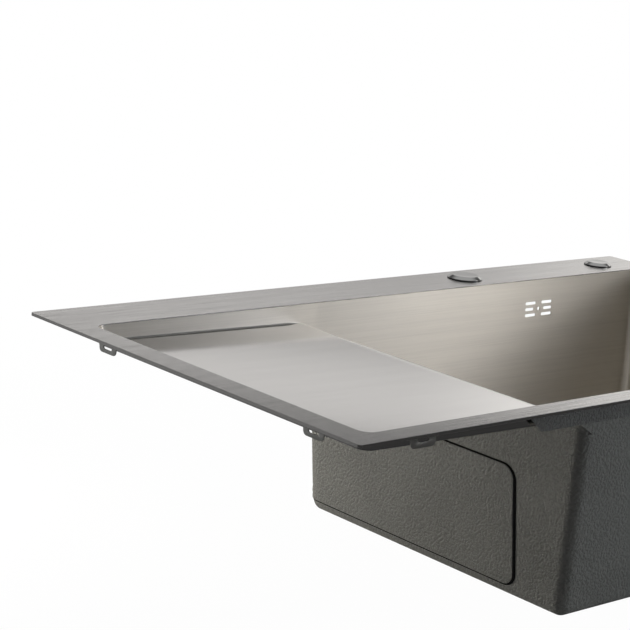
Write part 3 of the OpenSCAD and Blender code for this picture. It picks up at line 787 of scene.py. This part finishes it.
@dataclass(frozen=True)
class Drainer:
    """The pressed drainer: three walls, the fold at their foot, the floor and the nose into the bowl."""

    plan: Plan
    along: int = 66
    corner: int = 14
    across: int = 84
    sag: float = 0.35
    taper: float = 18.0
    least_fold_r: float = 0.03
    bend_share: float = 0.45
    wall_level: float = 0.97
    fold_level: float = 0.3

    def nose(self, share: np.ndarray, turn: float, inside: float = 0.0) -> np.ndarray:
        """A line along the nose.

        Args:
            share: 0 at the front wall to 1 at the rear wall.
            turn: 0 degrees on top of the nose, 90 at the seam.
            inside: Distance below the sheet's upper face.

        Returns:
            Points: with s = nose_r - inside and R = bowl_corner_r + nose_r - s sin turn the ends are arcs of
            radius R round (seam_x, mouth_half - bowl_corner_r), as far as the long wall, and between them
            x = seam_x - R. An arc takes bend_share (bowl_corner_r + nose_r) of the share's run.
        """
        p = self.plan
        a = math.radians(turn)
        section = p.nose_r - inside
        radius = p.bowl_corner_r + p.nose_r - section * math.sin(a)
        z = p.seam_z + section * math.cos(a)
        reach = p.bowl_corner_r + (z - p.seam_z) * p.slant
        most = math.asin(min(1.0, reach / radius))
        straight = p.mouth_half - p.bowl_corner_r
        bend = (p.bowl_corner_r + p.nose_r) * self.bend_share
        whole = 2 * (straight + bend)
        run = np.abs(share - 0.5) * whole
        angle = np.clip((run - straight) / bend, 0, 1) * most
        side = np.sign(share - 0.5)
        y = p.middle_y + side * (np.minimum(run, straight) + radius * np.sin(angle))
        x = p.seam_x - radius * np.cos(angle)
        return np.stack([x, y, np.full_like(x, z)], axis=-1)

    def surface(self) -> Surface:
        """The inner face.

        Returns:
            One grid: columns go along the front wall, round the left end and along the rear wall, and rows go
            down the wall, round the fold, over the floor (ruled from the fold to the nose) and down the nose;
            and a flat patch at each end of the nose.
        """
        p = self.plan
        x0 = p.opening[0]
        start = self.nose(np.array([0.0]), 0.0)[0, 0]
        left = x0 + p.tray_corner_r
        run = np.linspace(0, 1, self.along + 1)
        turn = np.linspace(0, math.pi / 2, self.corner + 1)
        wall_x = start + (left - start) * run
        column_x = np.concatenate([wall_x, np.full(2 * self.corner + self.across - 1, left), wall_x[::-1]])
        ends = np.ones(self.along + 1 + self.corner)
        column_y = np.concatenate([-ends, np.linspace(-1, 1, self.across + 1)[1:-1], ends])
        angle = np.concatenate([np.full(self.along + 1, -math.pi / 2), -math.pi / 2 - turn[1:],
                                np.full(self.across - 1, -math.pi), -math.pi - turn[:-1],
                                np.full(self.along + 1, -1.5 * math.pi)])
        e = np.stack([np.cos(angle), np.sin(angle)], axis=-1)
        ease = np.clip((start - column_x) / self.taper, 0, 1)
        fold = self.least_fold_r + (p.tray_fold_r - self.least_fold_r) * ease * ease * (3 - 2 * ease)
        round_x = left - (p.tray_corner_r - fold) * np.abs(e[:, 0])
        foot = p.tray_z(np.where(column_x <= left, round_x, column_x))

        def place(z: np.ndarray, reach: np.ndarray, level: np.ndarray) -> np.ndarray:
            """Points at a reach from the corners' centres, which lean in with z."""
            lean = p.lean(z)
            shift = np.where(column_x <= left, lean, lean * np.abs(e[:, 0]))
            cx = column_x + shift
            cy = p.middle_y + column_y * (p.half_y - p.tray_corner_r - lean)
            return np.stack([cx + reach * e[:, 0], cy + reach * e[:, 1], level], axis=-1)

        rows = []
        bend = foot + fold
        for t in (0.0, 0.25, 0.5, 0.75, 0.97):
            z = p.sheet_z + t * (bend - p.sheet_z)
            rows.append(place(z, np.full_like(z, p.tray_corner_r), z))
        for a in np.radians(np.linspace(4, 90, 10)):
            rows.append(place(bend, p.tray_corner_r - fold * (1 - math.cos(a)), bend - fold * math.sin(a)))
        inner = rows[-1]
        share = np.cumsum(np.r_[0.0, np.linalg.norm(np.diff(inner[:, :2], axis=0), axis=1)])
        share /= share[-1]
        crest = self.nose(share, 0.0)
        half = p.half_y - p.lean(p.nose_z)
        for s in np.r_[0.004, np.linspace(0, 1, 46)[1:-1], 0.996]:
            row = inner + s * (crest - inner)
            across = 1 - ((row[:, 1] - p.middle_y) / half) ** 2
            along = np.clip((row[:, 0] - x0) / p.tray_l, 0, 1)
            row[:, 2] -= self.sag * np.clip(across, 0, 1) * (4 * along * (1 - along))
            rows.append(row)
        rows += [self.nose(share, t) for t in (0.0, 2.0, *np.linspace(8, 86, 12), 90.0)]
        whole = Surface.grid(np.stack(rows))
        ends = np.array([self.nose(np.array([1.0]), t)[0] for t in np.linspace(0, 90, 16)])
        levels = np.linspace(0, 1, 6)[:, None]
        z = p.sheet_z + levels * (ends[None, :, 2] - p.sheet_z)
        for side in (-1, 1):
            y = p.middle_y + side * (p.half_y - p.lean(z))
            patch = Surface.grid(np.stack([np.broadcast_to(ends[:, 0], z.shape), y, z], axis=-1))
            whole = whole + (patch if side < 0 else patch.flipped())
        return whole

    def build(self) -> Piece:
        """Make the drainer and its wall."""
        piece = self.surface().to_object("drainer", merge=0.02)
        with edited(piece.data) as work:
            bmesh.ops.recalc_face_normals(work, faces=work.faces)
            if max(work.faces, key=lambda face: face.calc_area()).normal.z < 0:
                bmesh.ops.reverse_faces(work, faces=work.faces)
        thicken(piece, self.plan.sheet_t)
        return self.dressed(finished(outwards(piece), Finish.DRAINER, "satin_steel", BODY, "drainer_tray"))

    def dressed(self, piece: Piece) -> Piece:
        """Give the tray's walls, where |normal z| < wall_level and the face looks inwards, the bowl's finish,
        and their fold, where |normal z| > fold_level as well, a dark steel that paints the shade in the fold."""
        faces = piece.data.polygons
        normal, place = np.empty(3 * len(faces)), np.empty(3 * len(faces))
        faces.foreach_get("normal", normal)
        faces.foreach_get("center", place)
        normal, place = normal.reshape(-1, 3), place.reshape(-1, 3)
        middle = np.array([self.plan.opening[0] + self.plan.tray_l / 2, self.plan.middle_y, 0.0]) * MM
        inwards = ((middle - place) * normal)[:, :2].sum(axis=1) > 0
        level = np.abs(normal[:, 2])
        for finish in (Finish.BOWL, Finish.FOLD):
            piece.data.materials.append(finish.material())
        # slot 2, dark steel on the fold faces, is painted shade
        slots = np.where(inwards & (level < self.wall_level), 1 + (level > self.fold_level), 0)
        faces.foreach_set("material_index", slots.astype(np.int32))
        return piece


@dataclass(frozen=True)
class BowlForm:
    """The bowl as one form with a free offset, for the sheet and its coat."""

    plan: Plan
    loop: Loop = Loop(long=90, side=60, corner=14)
    recess_edge: float = 1.2
    least_touch: float = 3.5

    def sections(self, offset: float, top: float, reach: float) -> tuple[np.ndarray, np.ndarray]:
        """Lines round the form, from the top of its walls down to the edge of the recess.

        Args:
            offset: Distance outside the bowl's inner face.
            top: Level of the upper edge.
            reach: How far the long walls run on to the left of the seam, from the nose's top up.

        Returns:
            Rows by samples by 3, and each row's level at the left end. The walls run from c + r e at the top
            to a ball of radius r at the foot, that the line touches at the angle f with
            d cos f - h sin f = r, at least least_touch degrees; the fold is c + r (cos f e, -sin f) up to the
            angle of the floor; and the floor is ruled from there to the circle of the recess.
        """
        p = self.plan
        e = self.loop.directions()
        r = p.bowl_corner_r + offset
        ball_z = p.floor_z - offset + r

        def centres(z: float, first: float | None = None) -> np.ndarray:
            """Centres at a level, with the left end at first where it is given."""
            inset = p.lean(z) - offset + r
            _, x1, y0, y1 = p.opening
            left = p.bowl_x0 + inset if first is None else first
            return self.loop.centres(left, x1 - inset, y0 + inset, y1 - inset)

        depth = p.lean(ball_z) + r
        drop = p.rim_h - ball_z
        touch = max(math.acos(r / math.hypot(depth, drop)) - math.atan2(drop, depth),
                    math.radians(self.least_touch))
        foot_level = ball_z - r * math.sin(touch)
        levels = [top, *np.linspace(top, p.seam_z, 5)[1:], *np.linspace(p.seam_z, foot_level, 14)[1:-1],
                  foot_level + 0.4]
        rows = []
        for z in levels:
            above = min(max(z - p.seam_z, 0.0) / p.nose_r, 1.0)
            first = p.seam_x - reach * above if z > p.seam_z - 1e-6 else None
            rows.append(raised(centres(z, first) + r * e, z))
        ball = centres(ball_z)
        mouth = np.array(p.drain) + (p.ledge_r + self.recess_edge) * e
        pull = ((mouth - ball) * e).sum(axis=1)
        fall = ball_z - (p.slope_z - offset)
        slope = np.arccos(r / np.hypot(fall, pull)) + np.arctan2(pull, fall)
        for t in np.linspace(0, 1, 13):
            a = touch + t * (math.pi / 2 - slope - touch)
            rows.append(raised(ball + (r * np.cos(a))[:, None] * e, ball_z - r * np.sin(a)))
        last = rows[-1]
        end = raised(mouth, p.slope_z - offset)
        rows += [last + s * (end - last) for s in (0.004, *np.linspace(0, 1, 22)[1:-1], 0.99, 1.0)]
        return np.stack(rows), np.array(levels)

    def recess(self, offset: float, inner_r: float) -> np.ndarray:
        """Lines down the recess and over its floor.

        Args:
            offset: Distance outside the bowl's inner face.
            inner_r: Radius of the hole in the middle.

        Returns:
            Rows by samples by 3: circles whose (r, z) follow a soft step.
        """
        p = self.plan
        e = self.loop.directions()
        edge, r, high, low = self.recess_edge, p.ledge_r + offset, p.slope_z - offset, p.ledge_z - offset
        soft = edge - offset
        brink = arc(r + soft, high - soft, soft, 75, 180, 5) if soft > 0 else np.array([(r, high)])
        profile = np.concatenate([brink, [(r, low + edge)], arc(r - edge, low + edge, edge, -15, -90, 5),
                                  [(inner_r + 0.4, low), (inner_r, low)]])
        return raised(np.array(p.drain) + profile[:, 0, None, None] * e, profile[:, 1, None])

    def shell(self, offset: float, top: float, inner_r: float | None, reach: float = 0.0) -> Surface:
        """The form's surface without the drainer's part at its upper left.

        Args:
            offset: Distance outside the bowl's inner face.
            top: Level of the upper edge.
            inner_r: Radius of the hole in the recess, or None to stop at the recess.
            reach: How far the long walls run on to the left of the seam, from the nose's top up.

        Returns:
            The surface.
        """
        rows, levels = self.sections(offset, top, reach)
        if inner_r is not None:
            rows = np.concatenate([rows, self.recess(offset, inner_r)])
        keep = np.ones((rows.shape[0] - 1, rows.shape[1]), bool)
        above = int((levels > self.plan.seam_z + 1e-6).sum())
        front_corner, rear_corner, left_side = 0, 6, 7
        keep[:above, np.isin(self.loop.part_of(), (front_corner, rear_corner, left_side))] = False
        return Surface.grid(rows, closed=True, keep=keep)


@dataclass(frozen=True)
class Bowl:
    """The pressed bowl with its overflow slots, and its coat."""

    plan: Plan
    form: BowlForm
    coat_t: float = 1.0
    coat_gap: float = 3.0
    overflow_right: float = 91.0
    overflow_depth: float = 35.0
    overflow_w: float = 45.0
    overflow_margin: float = 8.0
    slot_l: float = 18.0
    slot_mid_l: float = 14.5
    slot_h: float = 3.6
    slot_pitch: float = 7.0
    screw_hole_d: float = 4.4

    def slab(self, outline: np.ndarray, name: str) -> Piece:
        """A cutter through the rear wall.

        Args:
            outline: Points (x, z) round the hole, from the overflow's middle.
            name: Name of the cutter.

        Returns:
            The outline carried by CUT_REACH to each side of the wall, square to it, and closed at both ends.
        """
        p = self.plan
        z = p.rim_h - self.overflow_depth
        tilt = math.atan(p.slant)
        across = CUT_REACH * np.array([0, math.cos(tilt), -math.sin(tilt)])
        up = np.array([0, math.sin(tilt), math.cos(tilt)])
        origin = np.array([p.drain[0] + self.overflow_right, p.opening[3] - p.lean(z), z])
        flat = origin + outline[:, :1] * np.array([1.0, 0, 0]) + outline[:, 1:] * up
        middle = flat.mean(axis=0) + 0 * flat
        return tube([middle - across, flat - across, flat + across, middle + across], name)

    def capsule(self, x: float, z: float, length: float, height: float) -> np.ndarray:
        """Outline of a slot with round ends: the points of two half circles of radius height / 2."""
        r = height / 2
        right = arc(x + length / 2 - r, z, r, -90, 90, 12)
        left = arc(x - length / 2 + r, z, r, 90, 270, 12)
        return np.concatenate([right, left])

    def sheet(self) -> Piece:
        """Make the steel bowl."""
        p = self.plan
        piece = self.form.shell(0.0, p.sheet_z, p.drain_hole_d / 2).to_object("bowl_sheet")
        outwards(thicken(piece, p.sheet_t))
        for row in (-1, 0, 1):
            length = self.slot_mid_l if row == 0 else self.slot_l
            for side in (-1, 1):
                x = side * (self.overflow_w - length) / 2
                hole = self.capsule(x, row * self.slot_pitch, length, self.slot_h)
                cut(piece, self.slab(hole, "slot"))
        cut(piece, self.slab(self.capsule(0, 0, self.screw_hole_d + 1e-3, self.screw_hole_d), "screw_hole"))
        return finished(piece, Finish.BOWL, "satin_steel", BODY, "bowl", "rear_panel", "bowl_floor")

    def nose_coat(self) -> Piece:
        """Make the coat's strip under the nose: its two faces as one closed belt, and its thin ends."""
        drainer = Drainer(self.plan)
        share, turns = np.linspace(0, 1, 120), np.linspace(0, 90, 12)
        thin, thick = self.plan.sheet_t, self.plan.sheet_t + self.coat_t
        upper = [drainer.nose(share, t, thin) for t in turns]
        lower = [drainer.nose(share, t, thick) for t in turns[::-1]]
        rows = np.stack(upper + lower + upper[:1])
        belt = Surface.grid(rows)
        count = len(turns)
        for column in (0, -1):
            end = Surface.grid(np.stack([rows[:count, column], rows[count:2 * count, column][::-1]]))
            belt = belt + (end if column else end.flipped())
        return outwards(belt.to_object("nose_coat"))

    def coat(self) -> Piece:
        """Make the sprayed coat, with its window round the overflow and its strip under the nose."""
        p = self.plan
        surface = self.form.shell(p.sheet_t + self.coat_t, p.sheet_z - self.coat_gap, None,
                                  p.nose_r + p.bowl_corner_r)
        piece = surface.flipped().to_object("sprayed_coat")
        outwards(thicken(piece, self.coat_t))
        w = self.overflow_w + 2 * self.overflow_margin
        h = 2 * self.slot_pitch + self.slot_h + 2 * self.overflow_margin
        r = self.overflow_margin / 2
        window = np.concatenate([arc(sx * (w / 2 - r), sz * (h / 2 - r), r, a, a + 90, 6)
                                 for sx, sz, a in ((1, -1, -90), (1, 1, 0), (-1, 1, 90), (-1, -1, 180))])
        cut(piece, self.slab(window, "window"))
        return finished(joined(piece, self.nose_coat()), Finish.COAT, "pebbled_coat", BODY, "bowl_coating")


@dataclass(frozen=True)
class WrappedPad:
    """The sound pad on the bowl's left wall and round its rear corner, and a black bead at its edge that
    paints the pad edge's shadow.
    """

    plan: Plan
    base: float = 2.0
    thickness: float = 1.5
    top: float = 92.0
    foot: float = 10.5
    front: float = 84.0
    wrap: float = 27.0
    corner_r: float = 13.0
    edge_r: float = 0.4
    bead_w: float = 2.9
    bead_h: float = 0.9
    bead_overlap: float = 0.05
    bead_shape: Pair = (1.0, 0.55)
    margin: float = 0.4
    loop: Loop = Loop(long=60, side=40, corner=10)

    @property
    def area(self) -> Box:
        """The pad's start and end along the wall, from its corner's start, and its lower and upper level."""
        p = self.plan
        low, high = p.floor_z + self.foot, p.rim_h - self.top
        corner_y = p.opening[3] - p.lean(high) - p.bowl_corner_r
        return (p.opening[2] + self.front - corner_y, self.wrap, low, high)

    def on_wall(self, flat: np.ndarray, height: float) -> np.ndarray:
        """Bend points round the wall.

        Args:
            flat: Points (s, z): distance along the left wall, 0 where its corner starts, and level.
            height: Height above the coat.

        Returns:
            Points c + (r + height) e: c runs along the wall up to the corner, e turns in it by s / r, and c
            runs on after it.
        """
        p = self.plan
        s, z = flat[:, 0], flat[:, 1]
        r = p.bowl_corner_r + self.base
        inset = p.lean(z) + p.bowl_corner_r
        angle = math.pi - np.clip(s / r, 0, math.pi / 2)
        x = p.bowl_x0 + inset + np.maximum(s - r * math.pi / 2, 0) + (r + height) * np.cos(angle)
        y = p.opening[3] - inset + np.minimum(s, 0) + (r + height) * np.sin(angle)
        return np.stack([x, y, z - height * p.slant], axis=-1)

    def outline(self, reach: Any) -> np.ndarray:
        """The pad's outline, moved outwards by a reach, one number or one along and one up."""
        s0, s1, z0, z1 = self.area
        r = self.corner_r
        return self.loop.centres(s0 + r, s1 - r, z0 + r, z1 - r) + (r + reach) * self.loop.directions()

    def pad(self) -> Piece:
        """Make the pad: lines up its soft edge, in to its middle, and over its flat back."""
        s0, s1, z0, z1 = self.area
        middle = np.array([(s0 + s1) / 2, (z0 + z1) / 2])
        inset = self.edge_r + self.margin
        section = [(0.0, 0.0), *rounded(self.edge_r, self.thickness, 5), (inset, self.thickness)]
        top, edge = self.outline(-inset), self.outline(0.0)
        lines = [self.on_wall(self.outline(-reach), height) for reach, height in section]
        lines += [self.on_wall(top + t * (middle - top), self.thickness) for t in np.linspace(0, 1, 24)[1:]]
        back = [self.on_wall(edge + t * (middle - edge), 0.0) for t in np.linspace(0, 1, 12)]
        front, rear = (Surface.grid(np.stack(part), closed=True) for part in (lines, back))
        return outwards((front + rear.flipped()).to_object("pad_left_wrapped", 0.01))

    def bead(self) -> Piece:
        """Make the black bead that paints the shadow at the pad's edge: a low closed ring on the coat, bead_w
        times bead_shape wide beside the pad and above and below it."""
        inner, w, h = -self.bead_overlap, self.bead_w, self.bead_h
        section = [(inner, 0.0), (inner, h), (0.7 * w, h), (w, 0.4 * h), (w, 0.0), (inner, 0.0)]
        shape = np.array(self.bead_shape)
        return tube([self.on_wall(self.outline(reach * shape), height) for reach, height in section],
                    "pad_left_shadow_bead", 0.01)

    def build(self) -> None:
        """Make the pad and its bead."""
        finished(self.pad(), Finish.COAT, "coated_pad", BODY, "pad_left")
        # the black bead stands in for the shadow at the pad's edge
        finished(self.bead(), Finish.GLUE, "black_rubber", BODY, "pad_left")


@dataclass(frozen=True)
class Cover:
    """A lift-out cover of a deck hole: spun cap, seal and collar."""

    name: str
    centre: Pair
    diameter: float
    seat_z: float = 3.0
    seal_t: float = 0.8
    height: float = 3.4
    bevel: float = 4.5
    edge: float = 0.7
    wall: float = 1.1
    dish: float = 0.5
    ring: float = 1.6

    def build(self) -> None:
        """Make the cap by turning its section, and dress its seal and collar, all on the cover's own body.

        The section goes from the cap's foot up its side, over the bevel and into the dish, and back inside.
        """
        r, z = self.diameter / 2, self.seat_z + self.seal_t
        top = z + self.height
        side, flat_r = z + self.edge, r - self.bevel
        dish_r = flat_r - self.ring
        hollow = [(dish_r * (1 - t), top - self.dish * (1 - (1 - t) ** 2) * 0.98)
                  for t in np.linspace(0, 1, 14)]
        outer = np.array([(r - 0.15, z), (r, z + 0.12), (r, side - 0.1), (r - 0.1, side + 0.03),
                          (r - 0.3, side + 0.16), (flat_r + 0.5, top - 0.26), (flat_r + 0.2, top - 0.07),
                          (flat_r - 0.15, top), (flat_r - 0.4, top), *hollow])
        inner = np.array([(0.0, top - self.dish - self.wall * 0.6), (flat_r - 0.6, top - self.wall * 0.9),
                          (r - self.wall, side - 0.1), (r - self.wall, z), (r - 0.15, z)])
        cap = outwards(lathe(np.concatenate([outer, inner]), self.centre).to_object(self.name + "_spun_cap"))
        finished(cap, Finish.CAP, "bright_steel", self.name, self.name + "_cap", smooth=20)
        refined(self.name + "_seal", Finish.RUBBER, "black_rubber", self.name, 0.15)
        refined(self.name + "_collar", Finish.BLACK, "black_plastic", self.name, 0.2)


class Fittings:
    """The pieces whose CAD form is kept and finished: rail, tabs, plain pads, waste and basket."""

    TABLE: tuple[tuple[Finish, str, str, dict[str, float]], ...] = (
        (Finish.PAINT, "grey_coat", BODY, {"front_rail": 0.3}),
        (Finish.RAW, "raw_steel", BODY,
         {"tabs_front": 0.25, "tabs_left": 0.25, "tabs_right": 0.25, "tabs_rear": 0.25}),
        (Finish.COAT, "coated_pad", BODY, {"pad_right": 0.5, "pad_rear": 0.5, "pad_bottom": 0.5}),
        (Finish.BRIGHT, "bright_steel", BODY, {"strainer_dish": 0.3}),
        (Finish.RUBBER, "black_rubber", BODY, {"flange_gasket": 0.2}),
        (Finish.WHITE, "white_plastic", BODY, {"waste_body": 0.4, "waste_hub": 0.3, "waste_tail": 0.4}),
        (Finish.RUBBER, "black_rubber", BODY, {"body_gasket": 0.2}),
        (Finish.BRIGHT, "bright_steel", BODY, {"clamp_screw": 0.2}),
        (Finish.BRASS, "yellow_brass", BODY, {"screw_insert": 0.2}),
        (Finish.BRIGHT, "bright_steel", "basket", {"strainer_basket": 0.25}),
        (Finish.RUBBER, "black_rubber", "basket", {"basket_stopper": 0.4}),
        (Finish.BRIGHT, "bright_steel", "basket", {"basket_knob": 0.4}),
    )

    def build(self) -> None:
        """Finish each piece, with the width of its softened edges."""
        for finish, slot, body, nodes in self.TABLE:
            for node, bevel in nodes.items():
                refined(node, finish, slot, body, bevel)


# The studio

def rectangle(name: str, w: float, h: float, z: float) -> Piece:
    """A rectangle of 2 w by 2 h metres at a level, round the origin."""
    mesh = bpy.data.meshes.new(name)
    mesh.from_pydata([(-w, -h, z), (w, -h, z), (w, h, z), (-w, h, z)], [], [(0, 1, 2, 3)])
    return placed(name, mesh)


@dataclass(frozen=True)
class Softbox:
    """An area lamp that points at a target, and that metal doesn't reflect."""

    name: str
    place: Triple
    target: Triple
    size: Pair
    watts: float
    color: Triple = (1.0, 1.0, 1.0)

    def build(self) -> None:
        """Make the lamp."""
        lamp = bpy.data.lights.new(self.name, "AREA")
        lamp.shape = "RECTANGLE"
        lamp.size, lamp.size_y = self.size
        lamp.energy = self.watts
        lamp.color = self.color
        thing = placed(self.name, lamp)
        way = Vector(self.target) - Vector(self.place)
        turn = way.to_track_quat("-Z", "Y").to_matrix().to_4x4()
        thing.matrix_world = Matrix.Translation(self.place) @ turn
        thing.visible_glossy = False


@dataclass(frozen=True)
class Panel:
    """An upright plain panel round the object, that metal reflects and the camera doesn't see."""

    name: str
    bearing: float
    distance: float
    width: float
    low: float
    high: float
    shade: Triple
    shift: float = 0.0
    left_shade: Triple | None = None
    left_span: Pair = (-0.1, 0.1)
    low_loss: float = 0.0
    low_span: Pair = (0.0, 1.0)
    left_fade: float = 0.08
    right_fade: float = 0.08
    end_fade: float = 0.04

    def build(self) -> None:
        """Make the panel at its bearing (degrees from X towards Y), square to it, and shifted along itself to
        the left as seen from the object.

        Its own light goes from left_shade to shade over left_span, counted from its middle to its right,
        loses the share low_loss below the heights of low_span, and fades to nothing at its edges.
        """
        w, h, middle = self.width / 2, (self.high - self.low) / 2, (self.low + self.high) / 2
        panel = rectangle(self.name, w, h, 0.0)
        bearing = math.radians(self.bearing)
        way = Vector((math.cos(bearing), math.sin(bearing), 0.0))
        place = way * self.distance + Vector((-way.y, way.x, 0.0)) * self.shift
        place.z = middle
        turn = Matrix.Rotation(bearing - math.pi / 2, 4, "Z") @ Matrix.Rotation(math.radians(90), 4, "X")
        panel.matrix_world = Matrix.Translation(place) @ turn
        material, tree = new_material(self.name)
        spot = tree.place()
        side, up = tree.part(spot, "X"), tree.part(spot, "Y")
        edge = side.ramp(-w, self.left_fade - w) * (1.0 - side.ramp(w - self.right_fade, w))
        edge = edge * (1.0 - up.math("ABSOLUTE").ramp(h - self.end_fade, h))
        low = 1.0 - self.low_loss + up.ramp(*(z - middle for z in self.low_span)) * self.low_loss
        shade = tree.mix(side.ramp(*self.left_span), rgb(*(self.left_shade or self.shade)), rgb(*self.shade))
        tree.show(tree.glow(tree.mix(edge * low, rgb(0.0), shade)))
        panel.data.materials.append(material)
        panel.visible_camera = False
        panel.visible_diffuse = False
        panel.visible_shadow = False


@dataclass(frozen=True)
class Studio:
    """Floor, world, lamps, panels and camera, in metres; the camera's place and axes were solved from the
    photograph."""

    floor_z: float = -0.3072
    floor_half: float = 30.0
    floor_shade: float = 0.8
    floor_mirrored: Pair = (0.06, 0.30)
    floor_shadow: float = 0.02
    floor_span: Pair = (0.5, 1.6)
    ambient: float = 0.10
    band: Pair = (0.0, 0.14)
    band_loss: float = 0.85
    ceiling: Pair = (0.6, 0.9)
    ceiling_gain: float = 0.7
    lens: float = 113.1835
    sensor: float = 36.0
    camera_place: Triple = (-1.47786, -1.09792, 0.45070)
    camera_right: Triple = (0.7533975, -0.6520282, 0.0851551)
    camera_down: Triple = (-0.0828209, -0.2225614, -0.9713944)
    camera_look: Triple = (0.6523287, 0.7247935, -0.2216788)
    lamps: tuple[Softbox, ...] = (
        Softbox("left_rear", (-0.5, 0.95, -0.24), (-0.13, 0.35, -0.15), (0.4, 0.3), 10.5, (1.0, 0.97, 0.90)),
        Softbox("right_front", (1.7, -1.5, 0.3), (0.1, 0.2, -0.1), (1.0, 1.0), 20.0, (0.88, 0.95, 1.0)),
        Softbox("overhead", (0.1, 0.5, 1.7), (0.1, 0.2, 0.0), (1.4, 1.0), 10.0),
    )
    panels: tuple[Panel, ...] = (
        Panel("backdrop_panel", 47.8, 0.95, 3.2, -0.5, 0.325, (1.7, 1.67, 1.63), 0.25,
              left_shade=(0.98, 0.965, 0.95), left_span=(0.0, 0.4), low_loss=0.39, low_span=(0.16, 0.21)),
        Panel("right_front_panel", -49.0, 1.2, 1.8, -0.05, 0.75, (0.3, 0.3, 0.3)),
        Panel("bowl_panel", -49.0, 0.85, 0.70, 0.10, 0.9, (1.36, 1.43, 1.58), 0.25,
              left_shade=(5.7, 5.6, 5.5), left_span=(-0.17, -0.05), left_fade=0.07, right_fade=0.3),
    )

    def world(self) -> None:
        """White where the camera looks, and a plain grey for diffuse light.

        Reflections see white at the horizon, a dark band above it and a grey ceiling:
        shade = 1 - band_loss ramp(band) + ceiling_gain ramp(ceiling) of the direction's z.
        """
        world = bpy.data.worlds.new("studio")
        bpy.context.scene.world = world
        world.use_nodes = True
        tree = Tree(world.node_tree)
        camera, glossy, clear = (tree.ray(kind) for kind in ("Camera", "Glossy", "Transmission"))
        up = tree.part(tree.place("Generated"), "Z")
        shade = 1.0 - up.ramp(*self.band) * self.band_loss + up.ramp(*self.ceiling) * self.ceiling_gain
        plain = tree.node("ShaderNodeBackground", None, {"Color": rgb(1.0), "Strength": self.ambient})
        white = tree.node("ShaderNodeBackground", None,
                          {"Color": tree.mix(camera, shade, rgb(1.0)), "Strength": 1.0})
        seen = (camera + glossy + clear).at_most(1.0)
        tree.show(tree.node("ShaderNodeMixShader", None, {0: seen, 1: plain, 2: white}), "World")

    def floor(self) -> None:
        """A pale floor that keeps the object's shadow, faintly near the object (floor_shadow, gone at the end
        of floor_span); metal reflects it dim, and less so towards the rear."""
        plane = rectangle("floor", self.floor_half, self.floor_half, self.floor_z)
        material, tree = new_material("pale_floor")
        place = tree.place()
        away = tree.node("ShaderNodeVectorMath", {"operation": "LENGTH"}, {0: place}, out="Value")
        rear = tree.part(place, "Y")
        matt = tree.node("ShaderNodeBsdfDiffuse", None, {"Color": rgb(self.floor_shade)})
        dim = tree.glow(tree.mix(rear.ramp(0.0, 1.0), *(rgb(shade) for shade in self.floor_mirrored)))
        mirrored = tree.node("ShaderNodeMixShader", None, {0: tree.ray("Glossy"), 1: matt, 2: dim})
        white = away.ramp(*self.floor_span) * self.floor_shadow + (1 - self.floor_shadow)
        tree.show(tree.node("ShaderNodeMixShader", None,
                            {0: tree.ray("Camera") * white, 1: mirrored, 2: tree.glow(rgb(1.0))}))
        plane.data.materials.append(material)

    def camera(self) -> None:
        """Set up the photograph's camera."""
        data = bpy.data.cameras.new("camera")
        data.lens = self.lens
        data.sensor_width = self.sensor
        data.clip_end = 100.0
        thing = placed("camera", data)
        right, down, look = (Vector(axis) for axis in (self.camera_right, self.camera_down, self.camera_look))
        turn = Matrix((right, -down, -look)).transposed().to_4x4()
        thing.matrix_world = Matrix.Translation(self.camera_place) @ turn
        bpy.context.scene.camera = thing

    def build(self) -> None:
        """Set up the studio."""
        self.world()
        self.floor()
        for lamp in self.lamps:
            lamp.build()
        for panel in self.panels:
            panel.build()
        self.camera()
        bpy.context.scene.view_settings.view_transform = "Standard"


def main() -> None:
    """Build every sub-assembly in order and report it."""
    logging.basicConfig(level=logging.INFO, format="%(name)s: %(message)s")
    Studio().build()
    plan = Plan()
    bowl = Bowl(plan, BowlForm(plan))
    Rim(plan).build()
    Drainer(plan).build()
    bowl.sheet()
    bowl.coat()
    WrappedPad(plan).build()
    Cover("tap_cover", plan.tap_hole, plan.tap_cover_d).build()
    Cover("small_cover", plan.small_hole, plan.small_cover_d).build()
    Fittings().build()


if __name__ == "__main__":
    main()
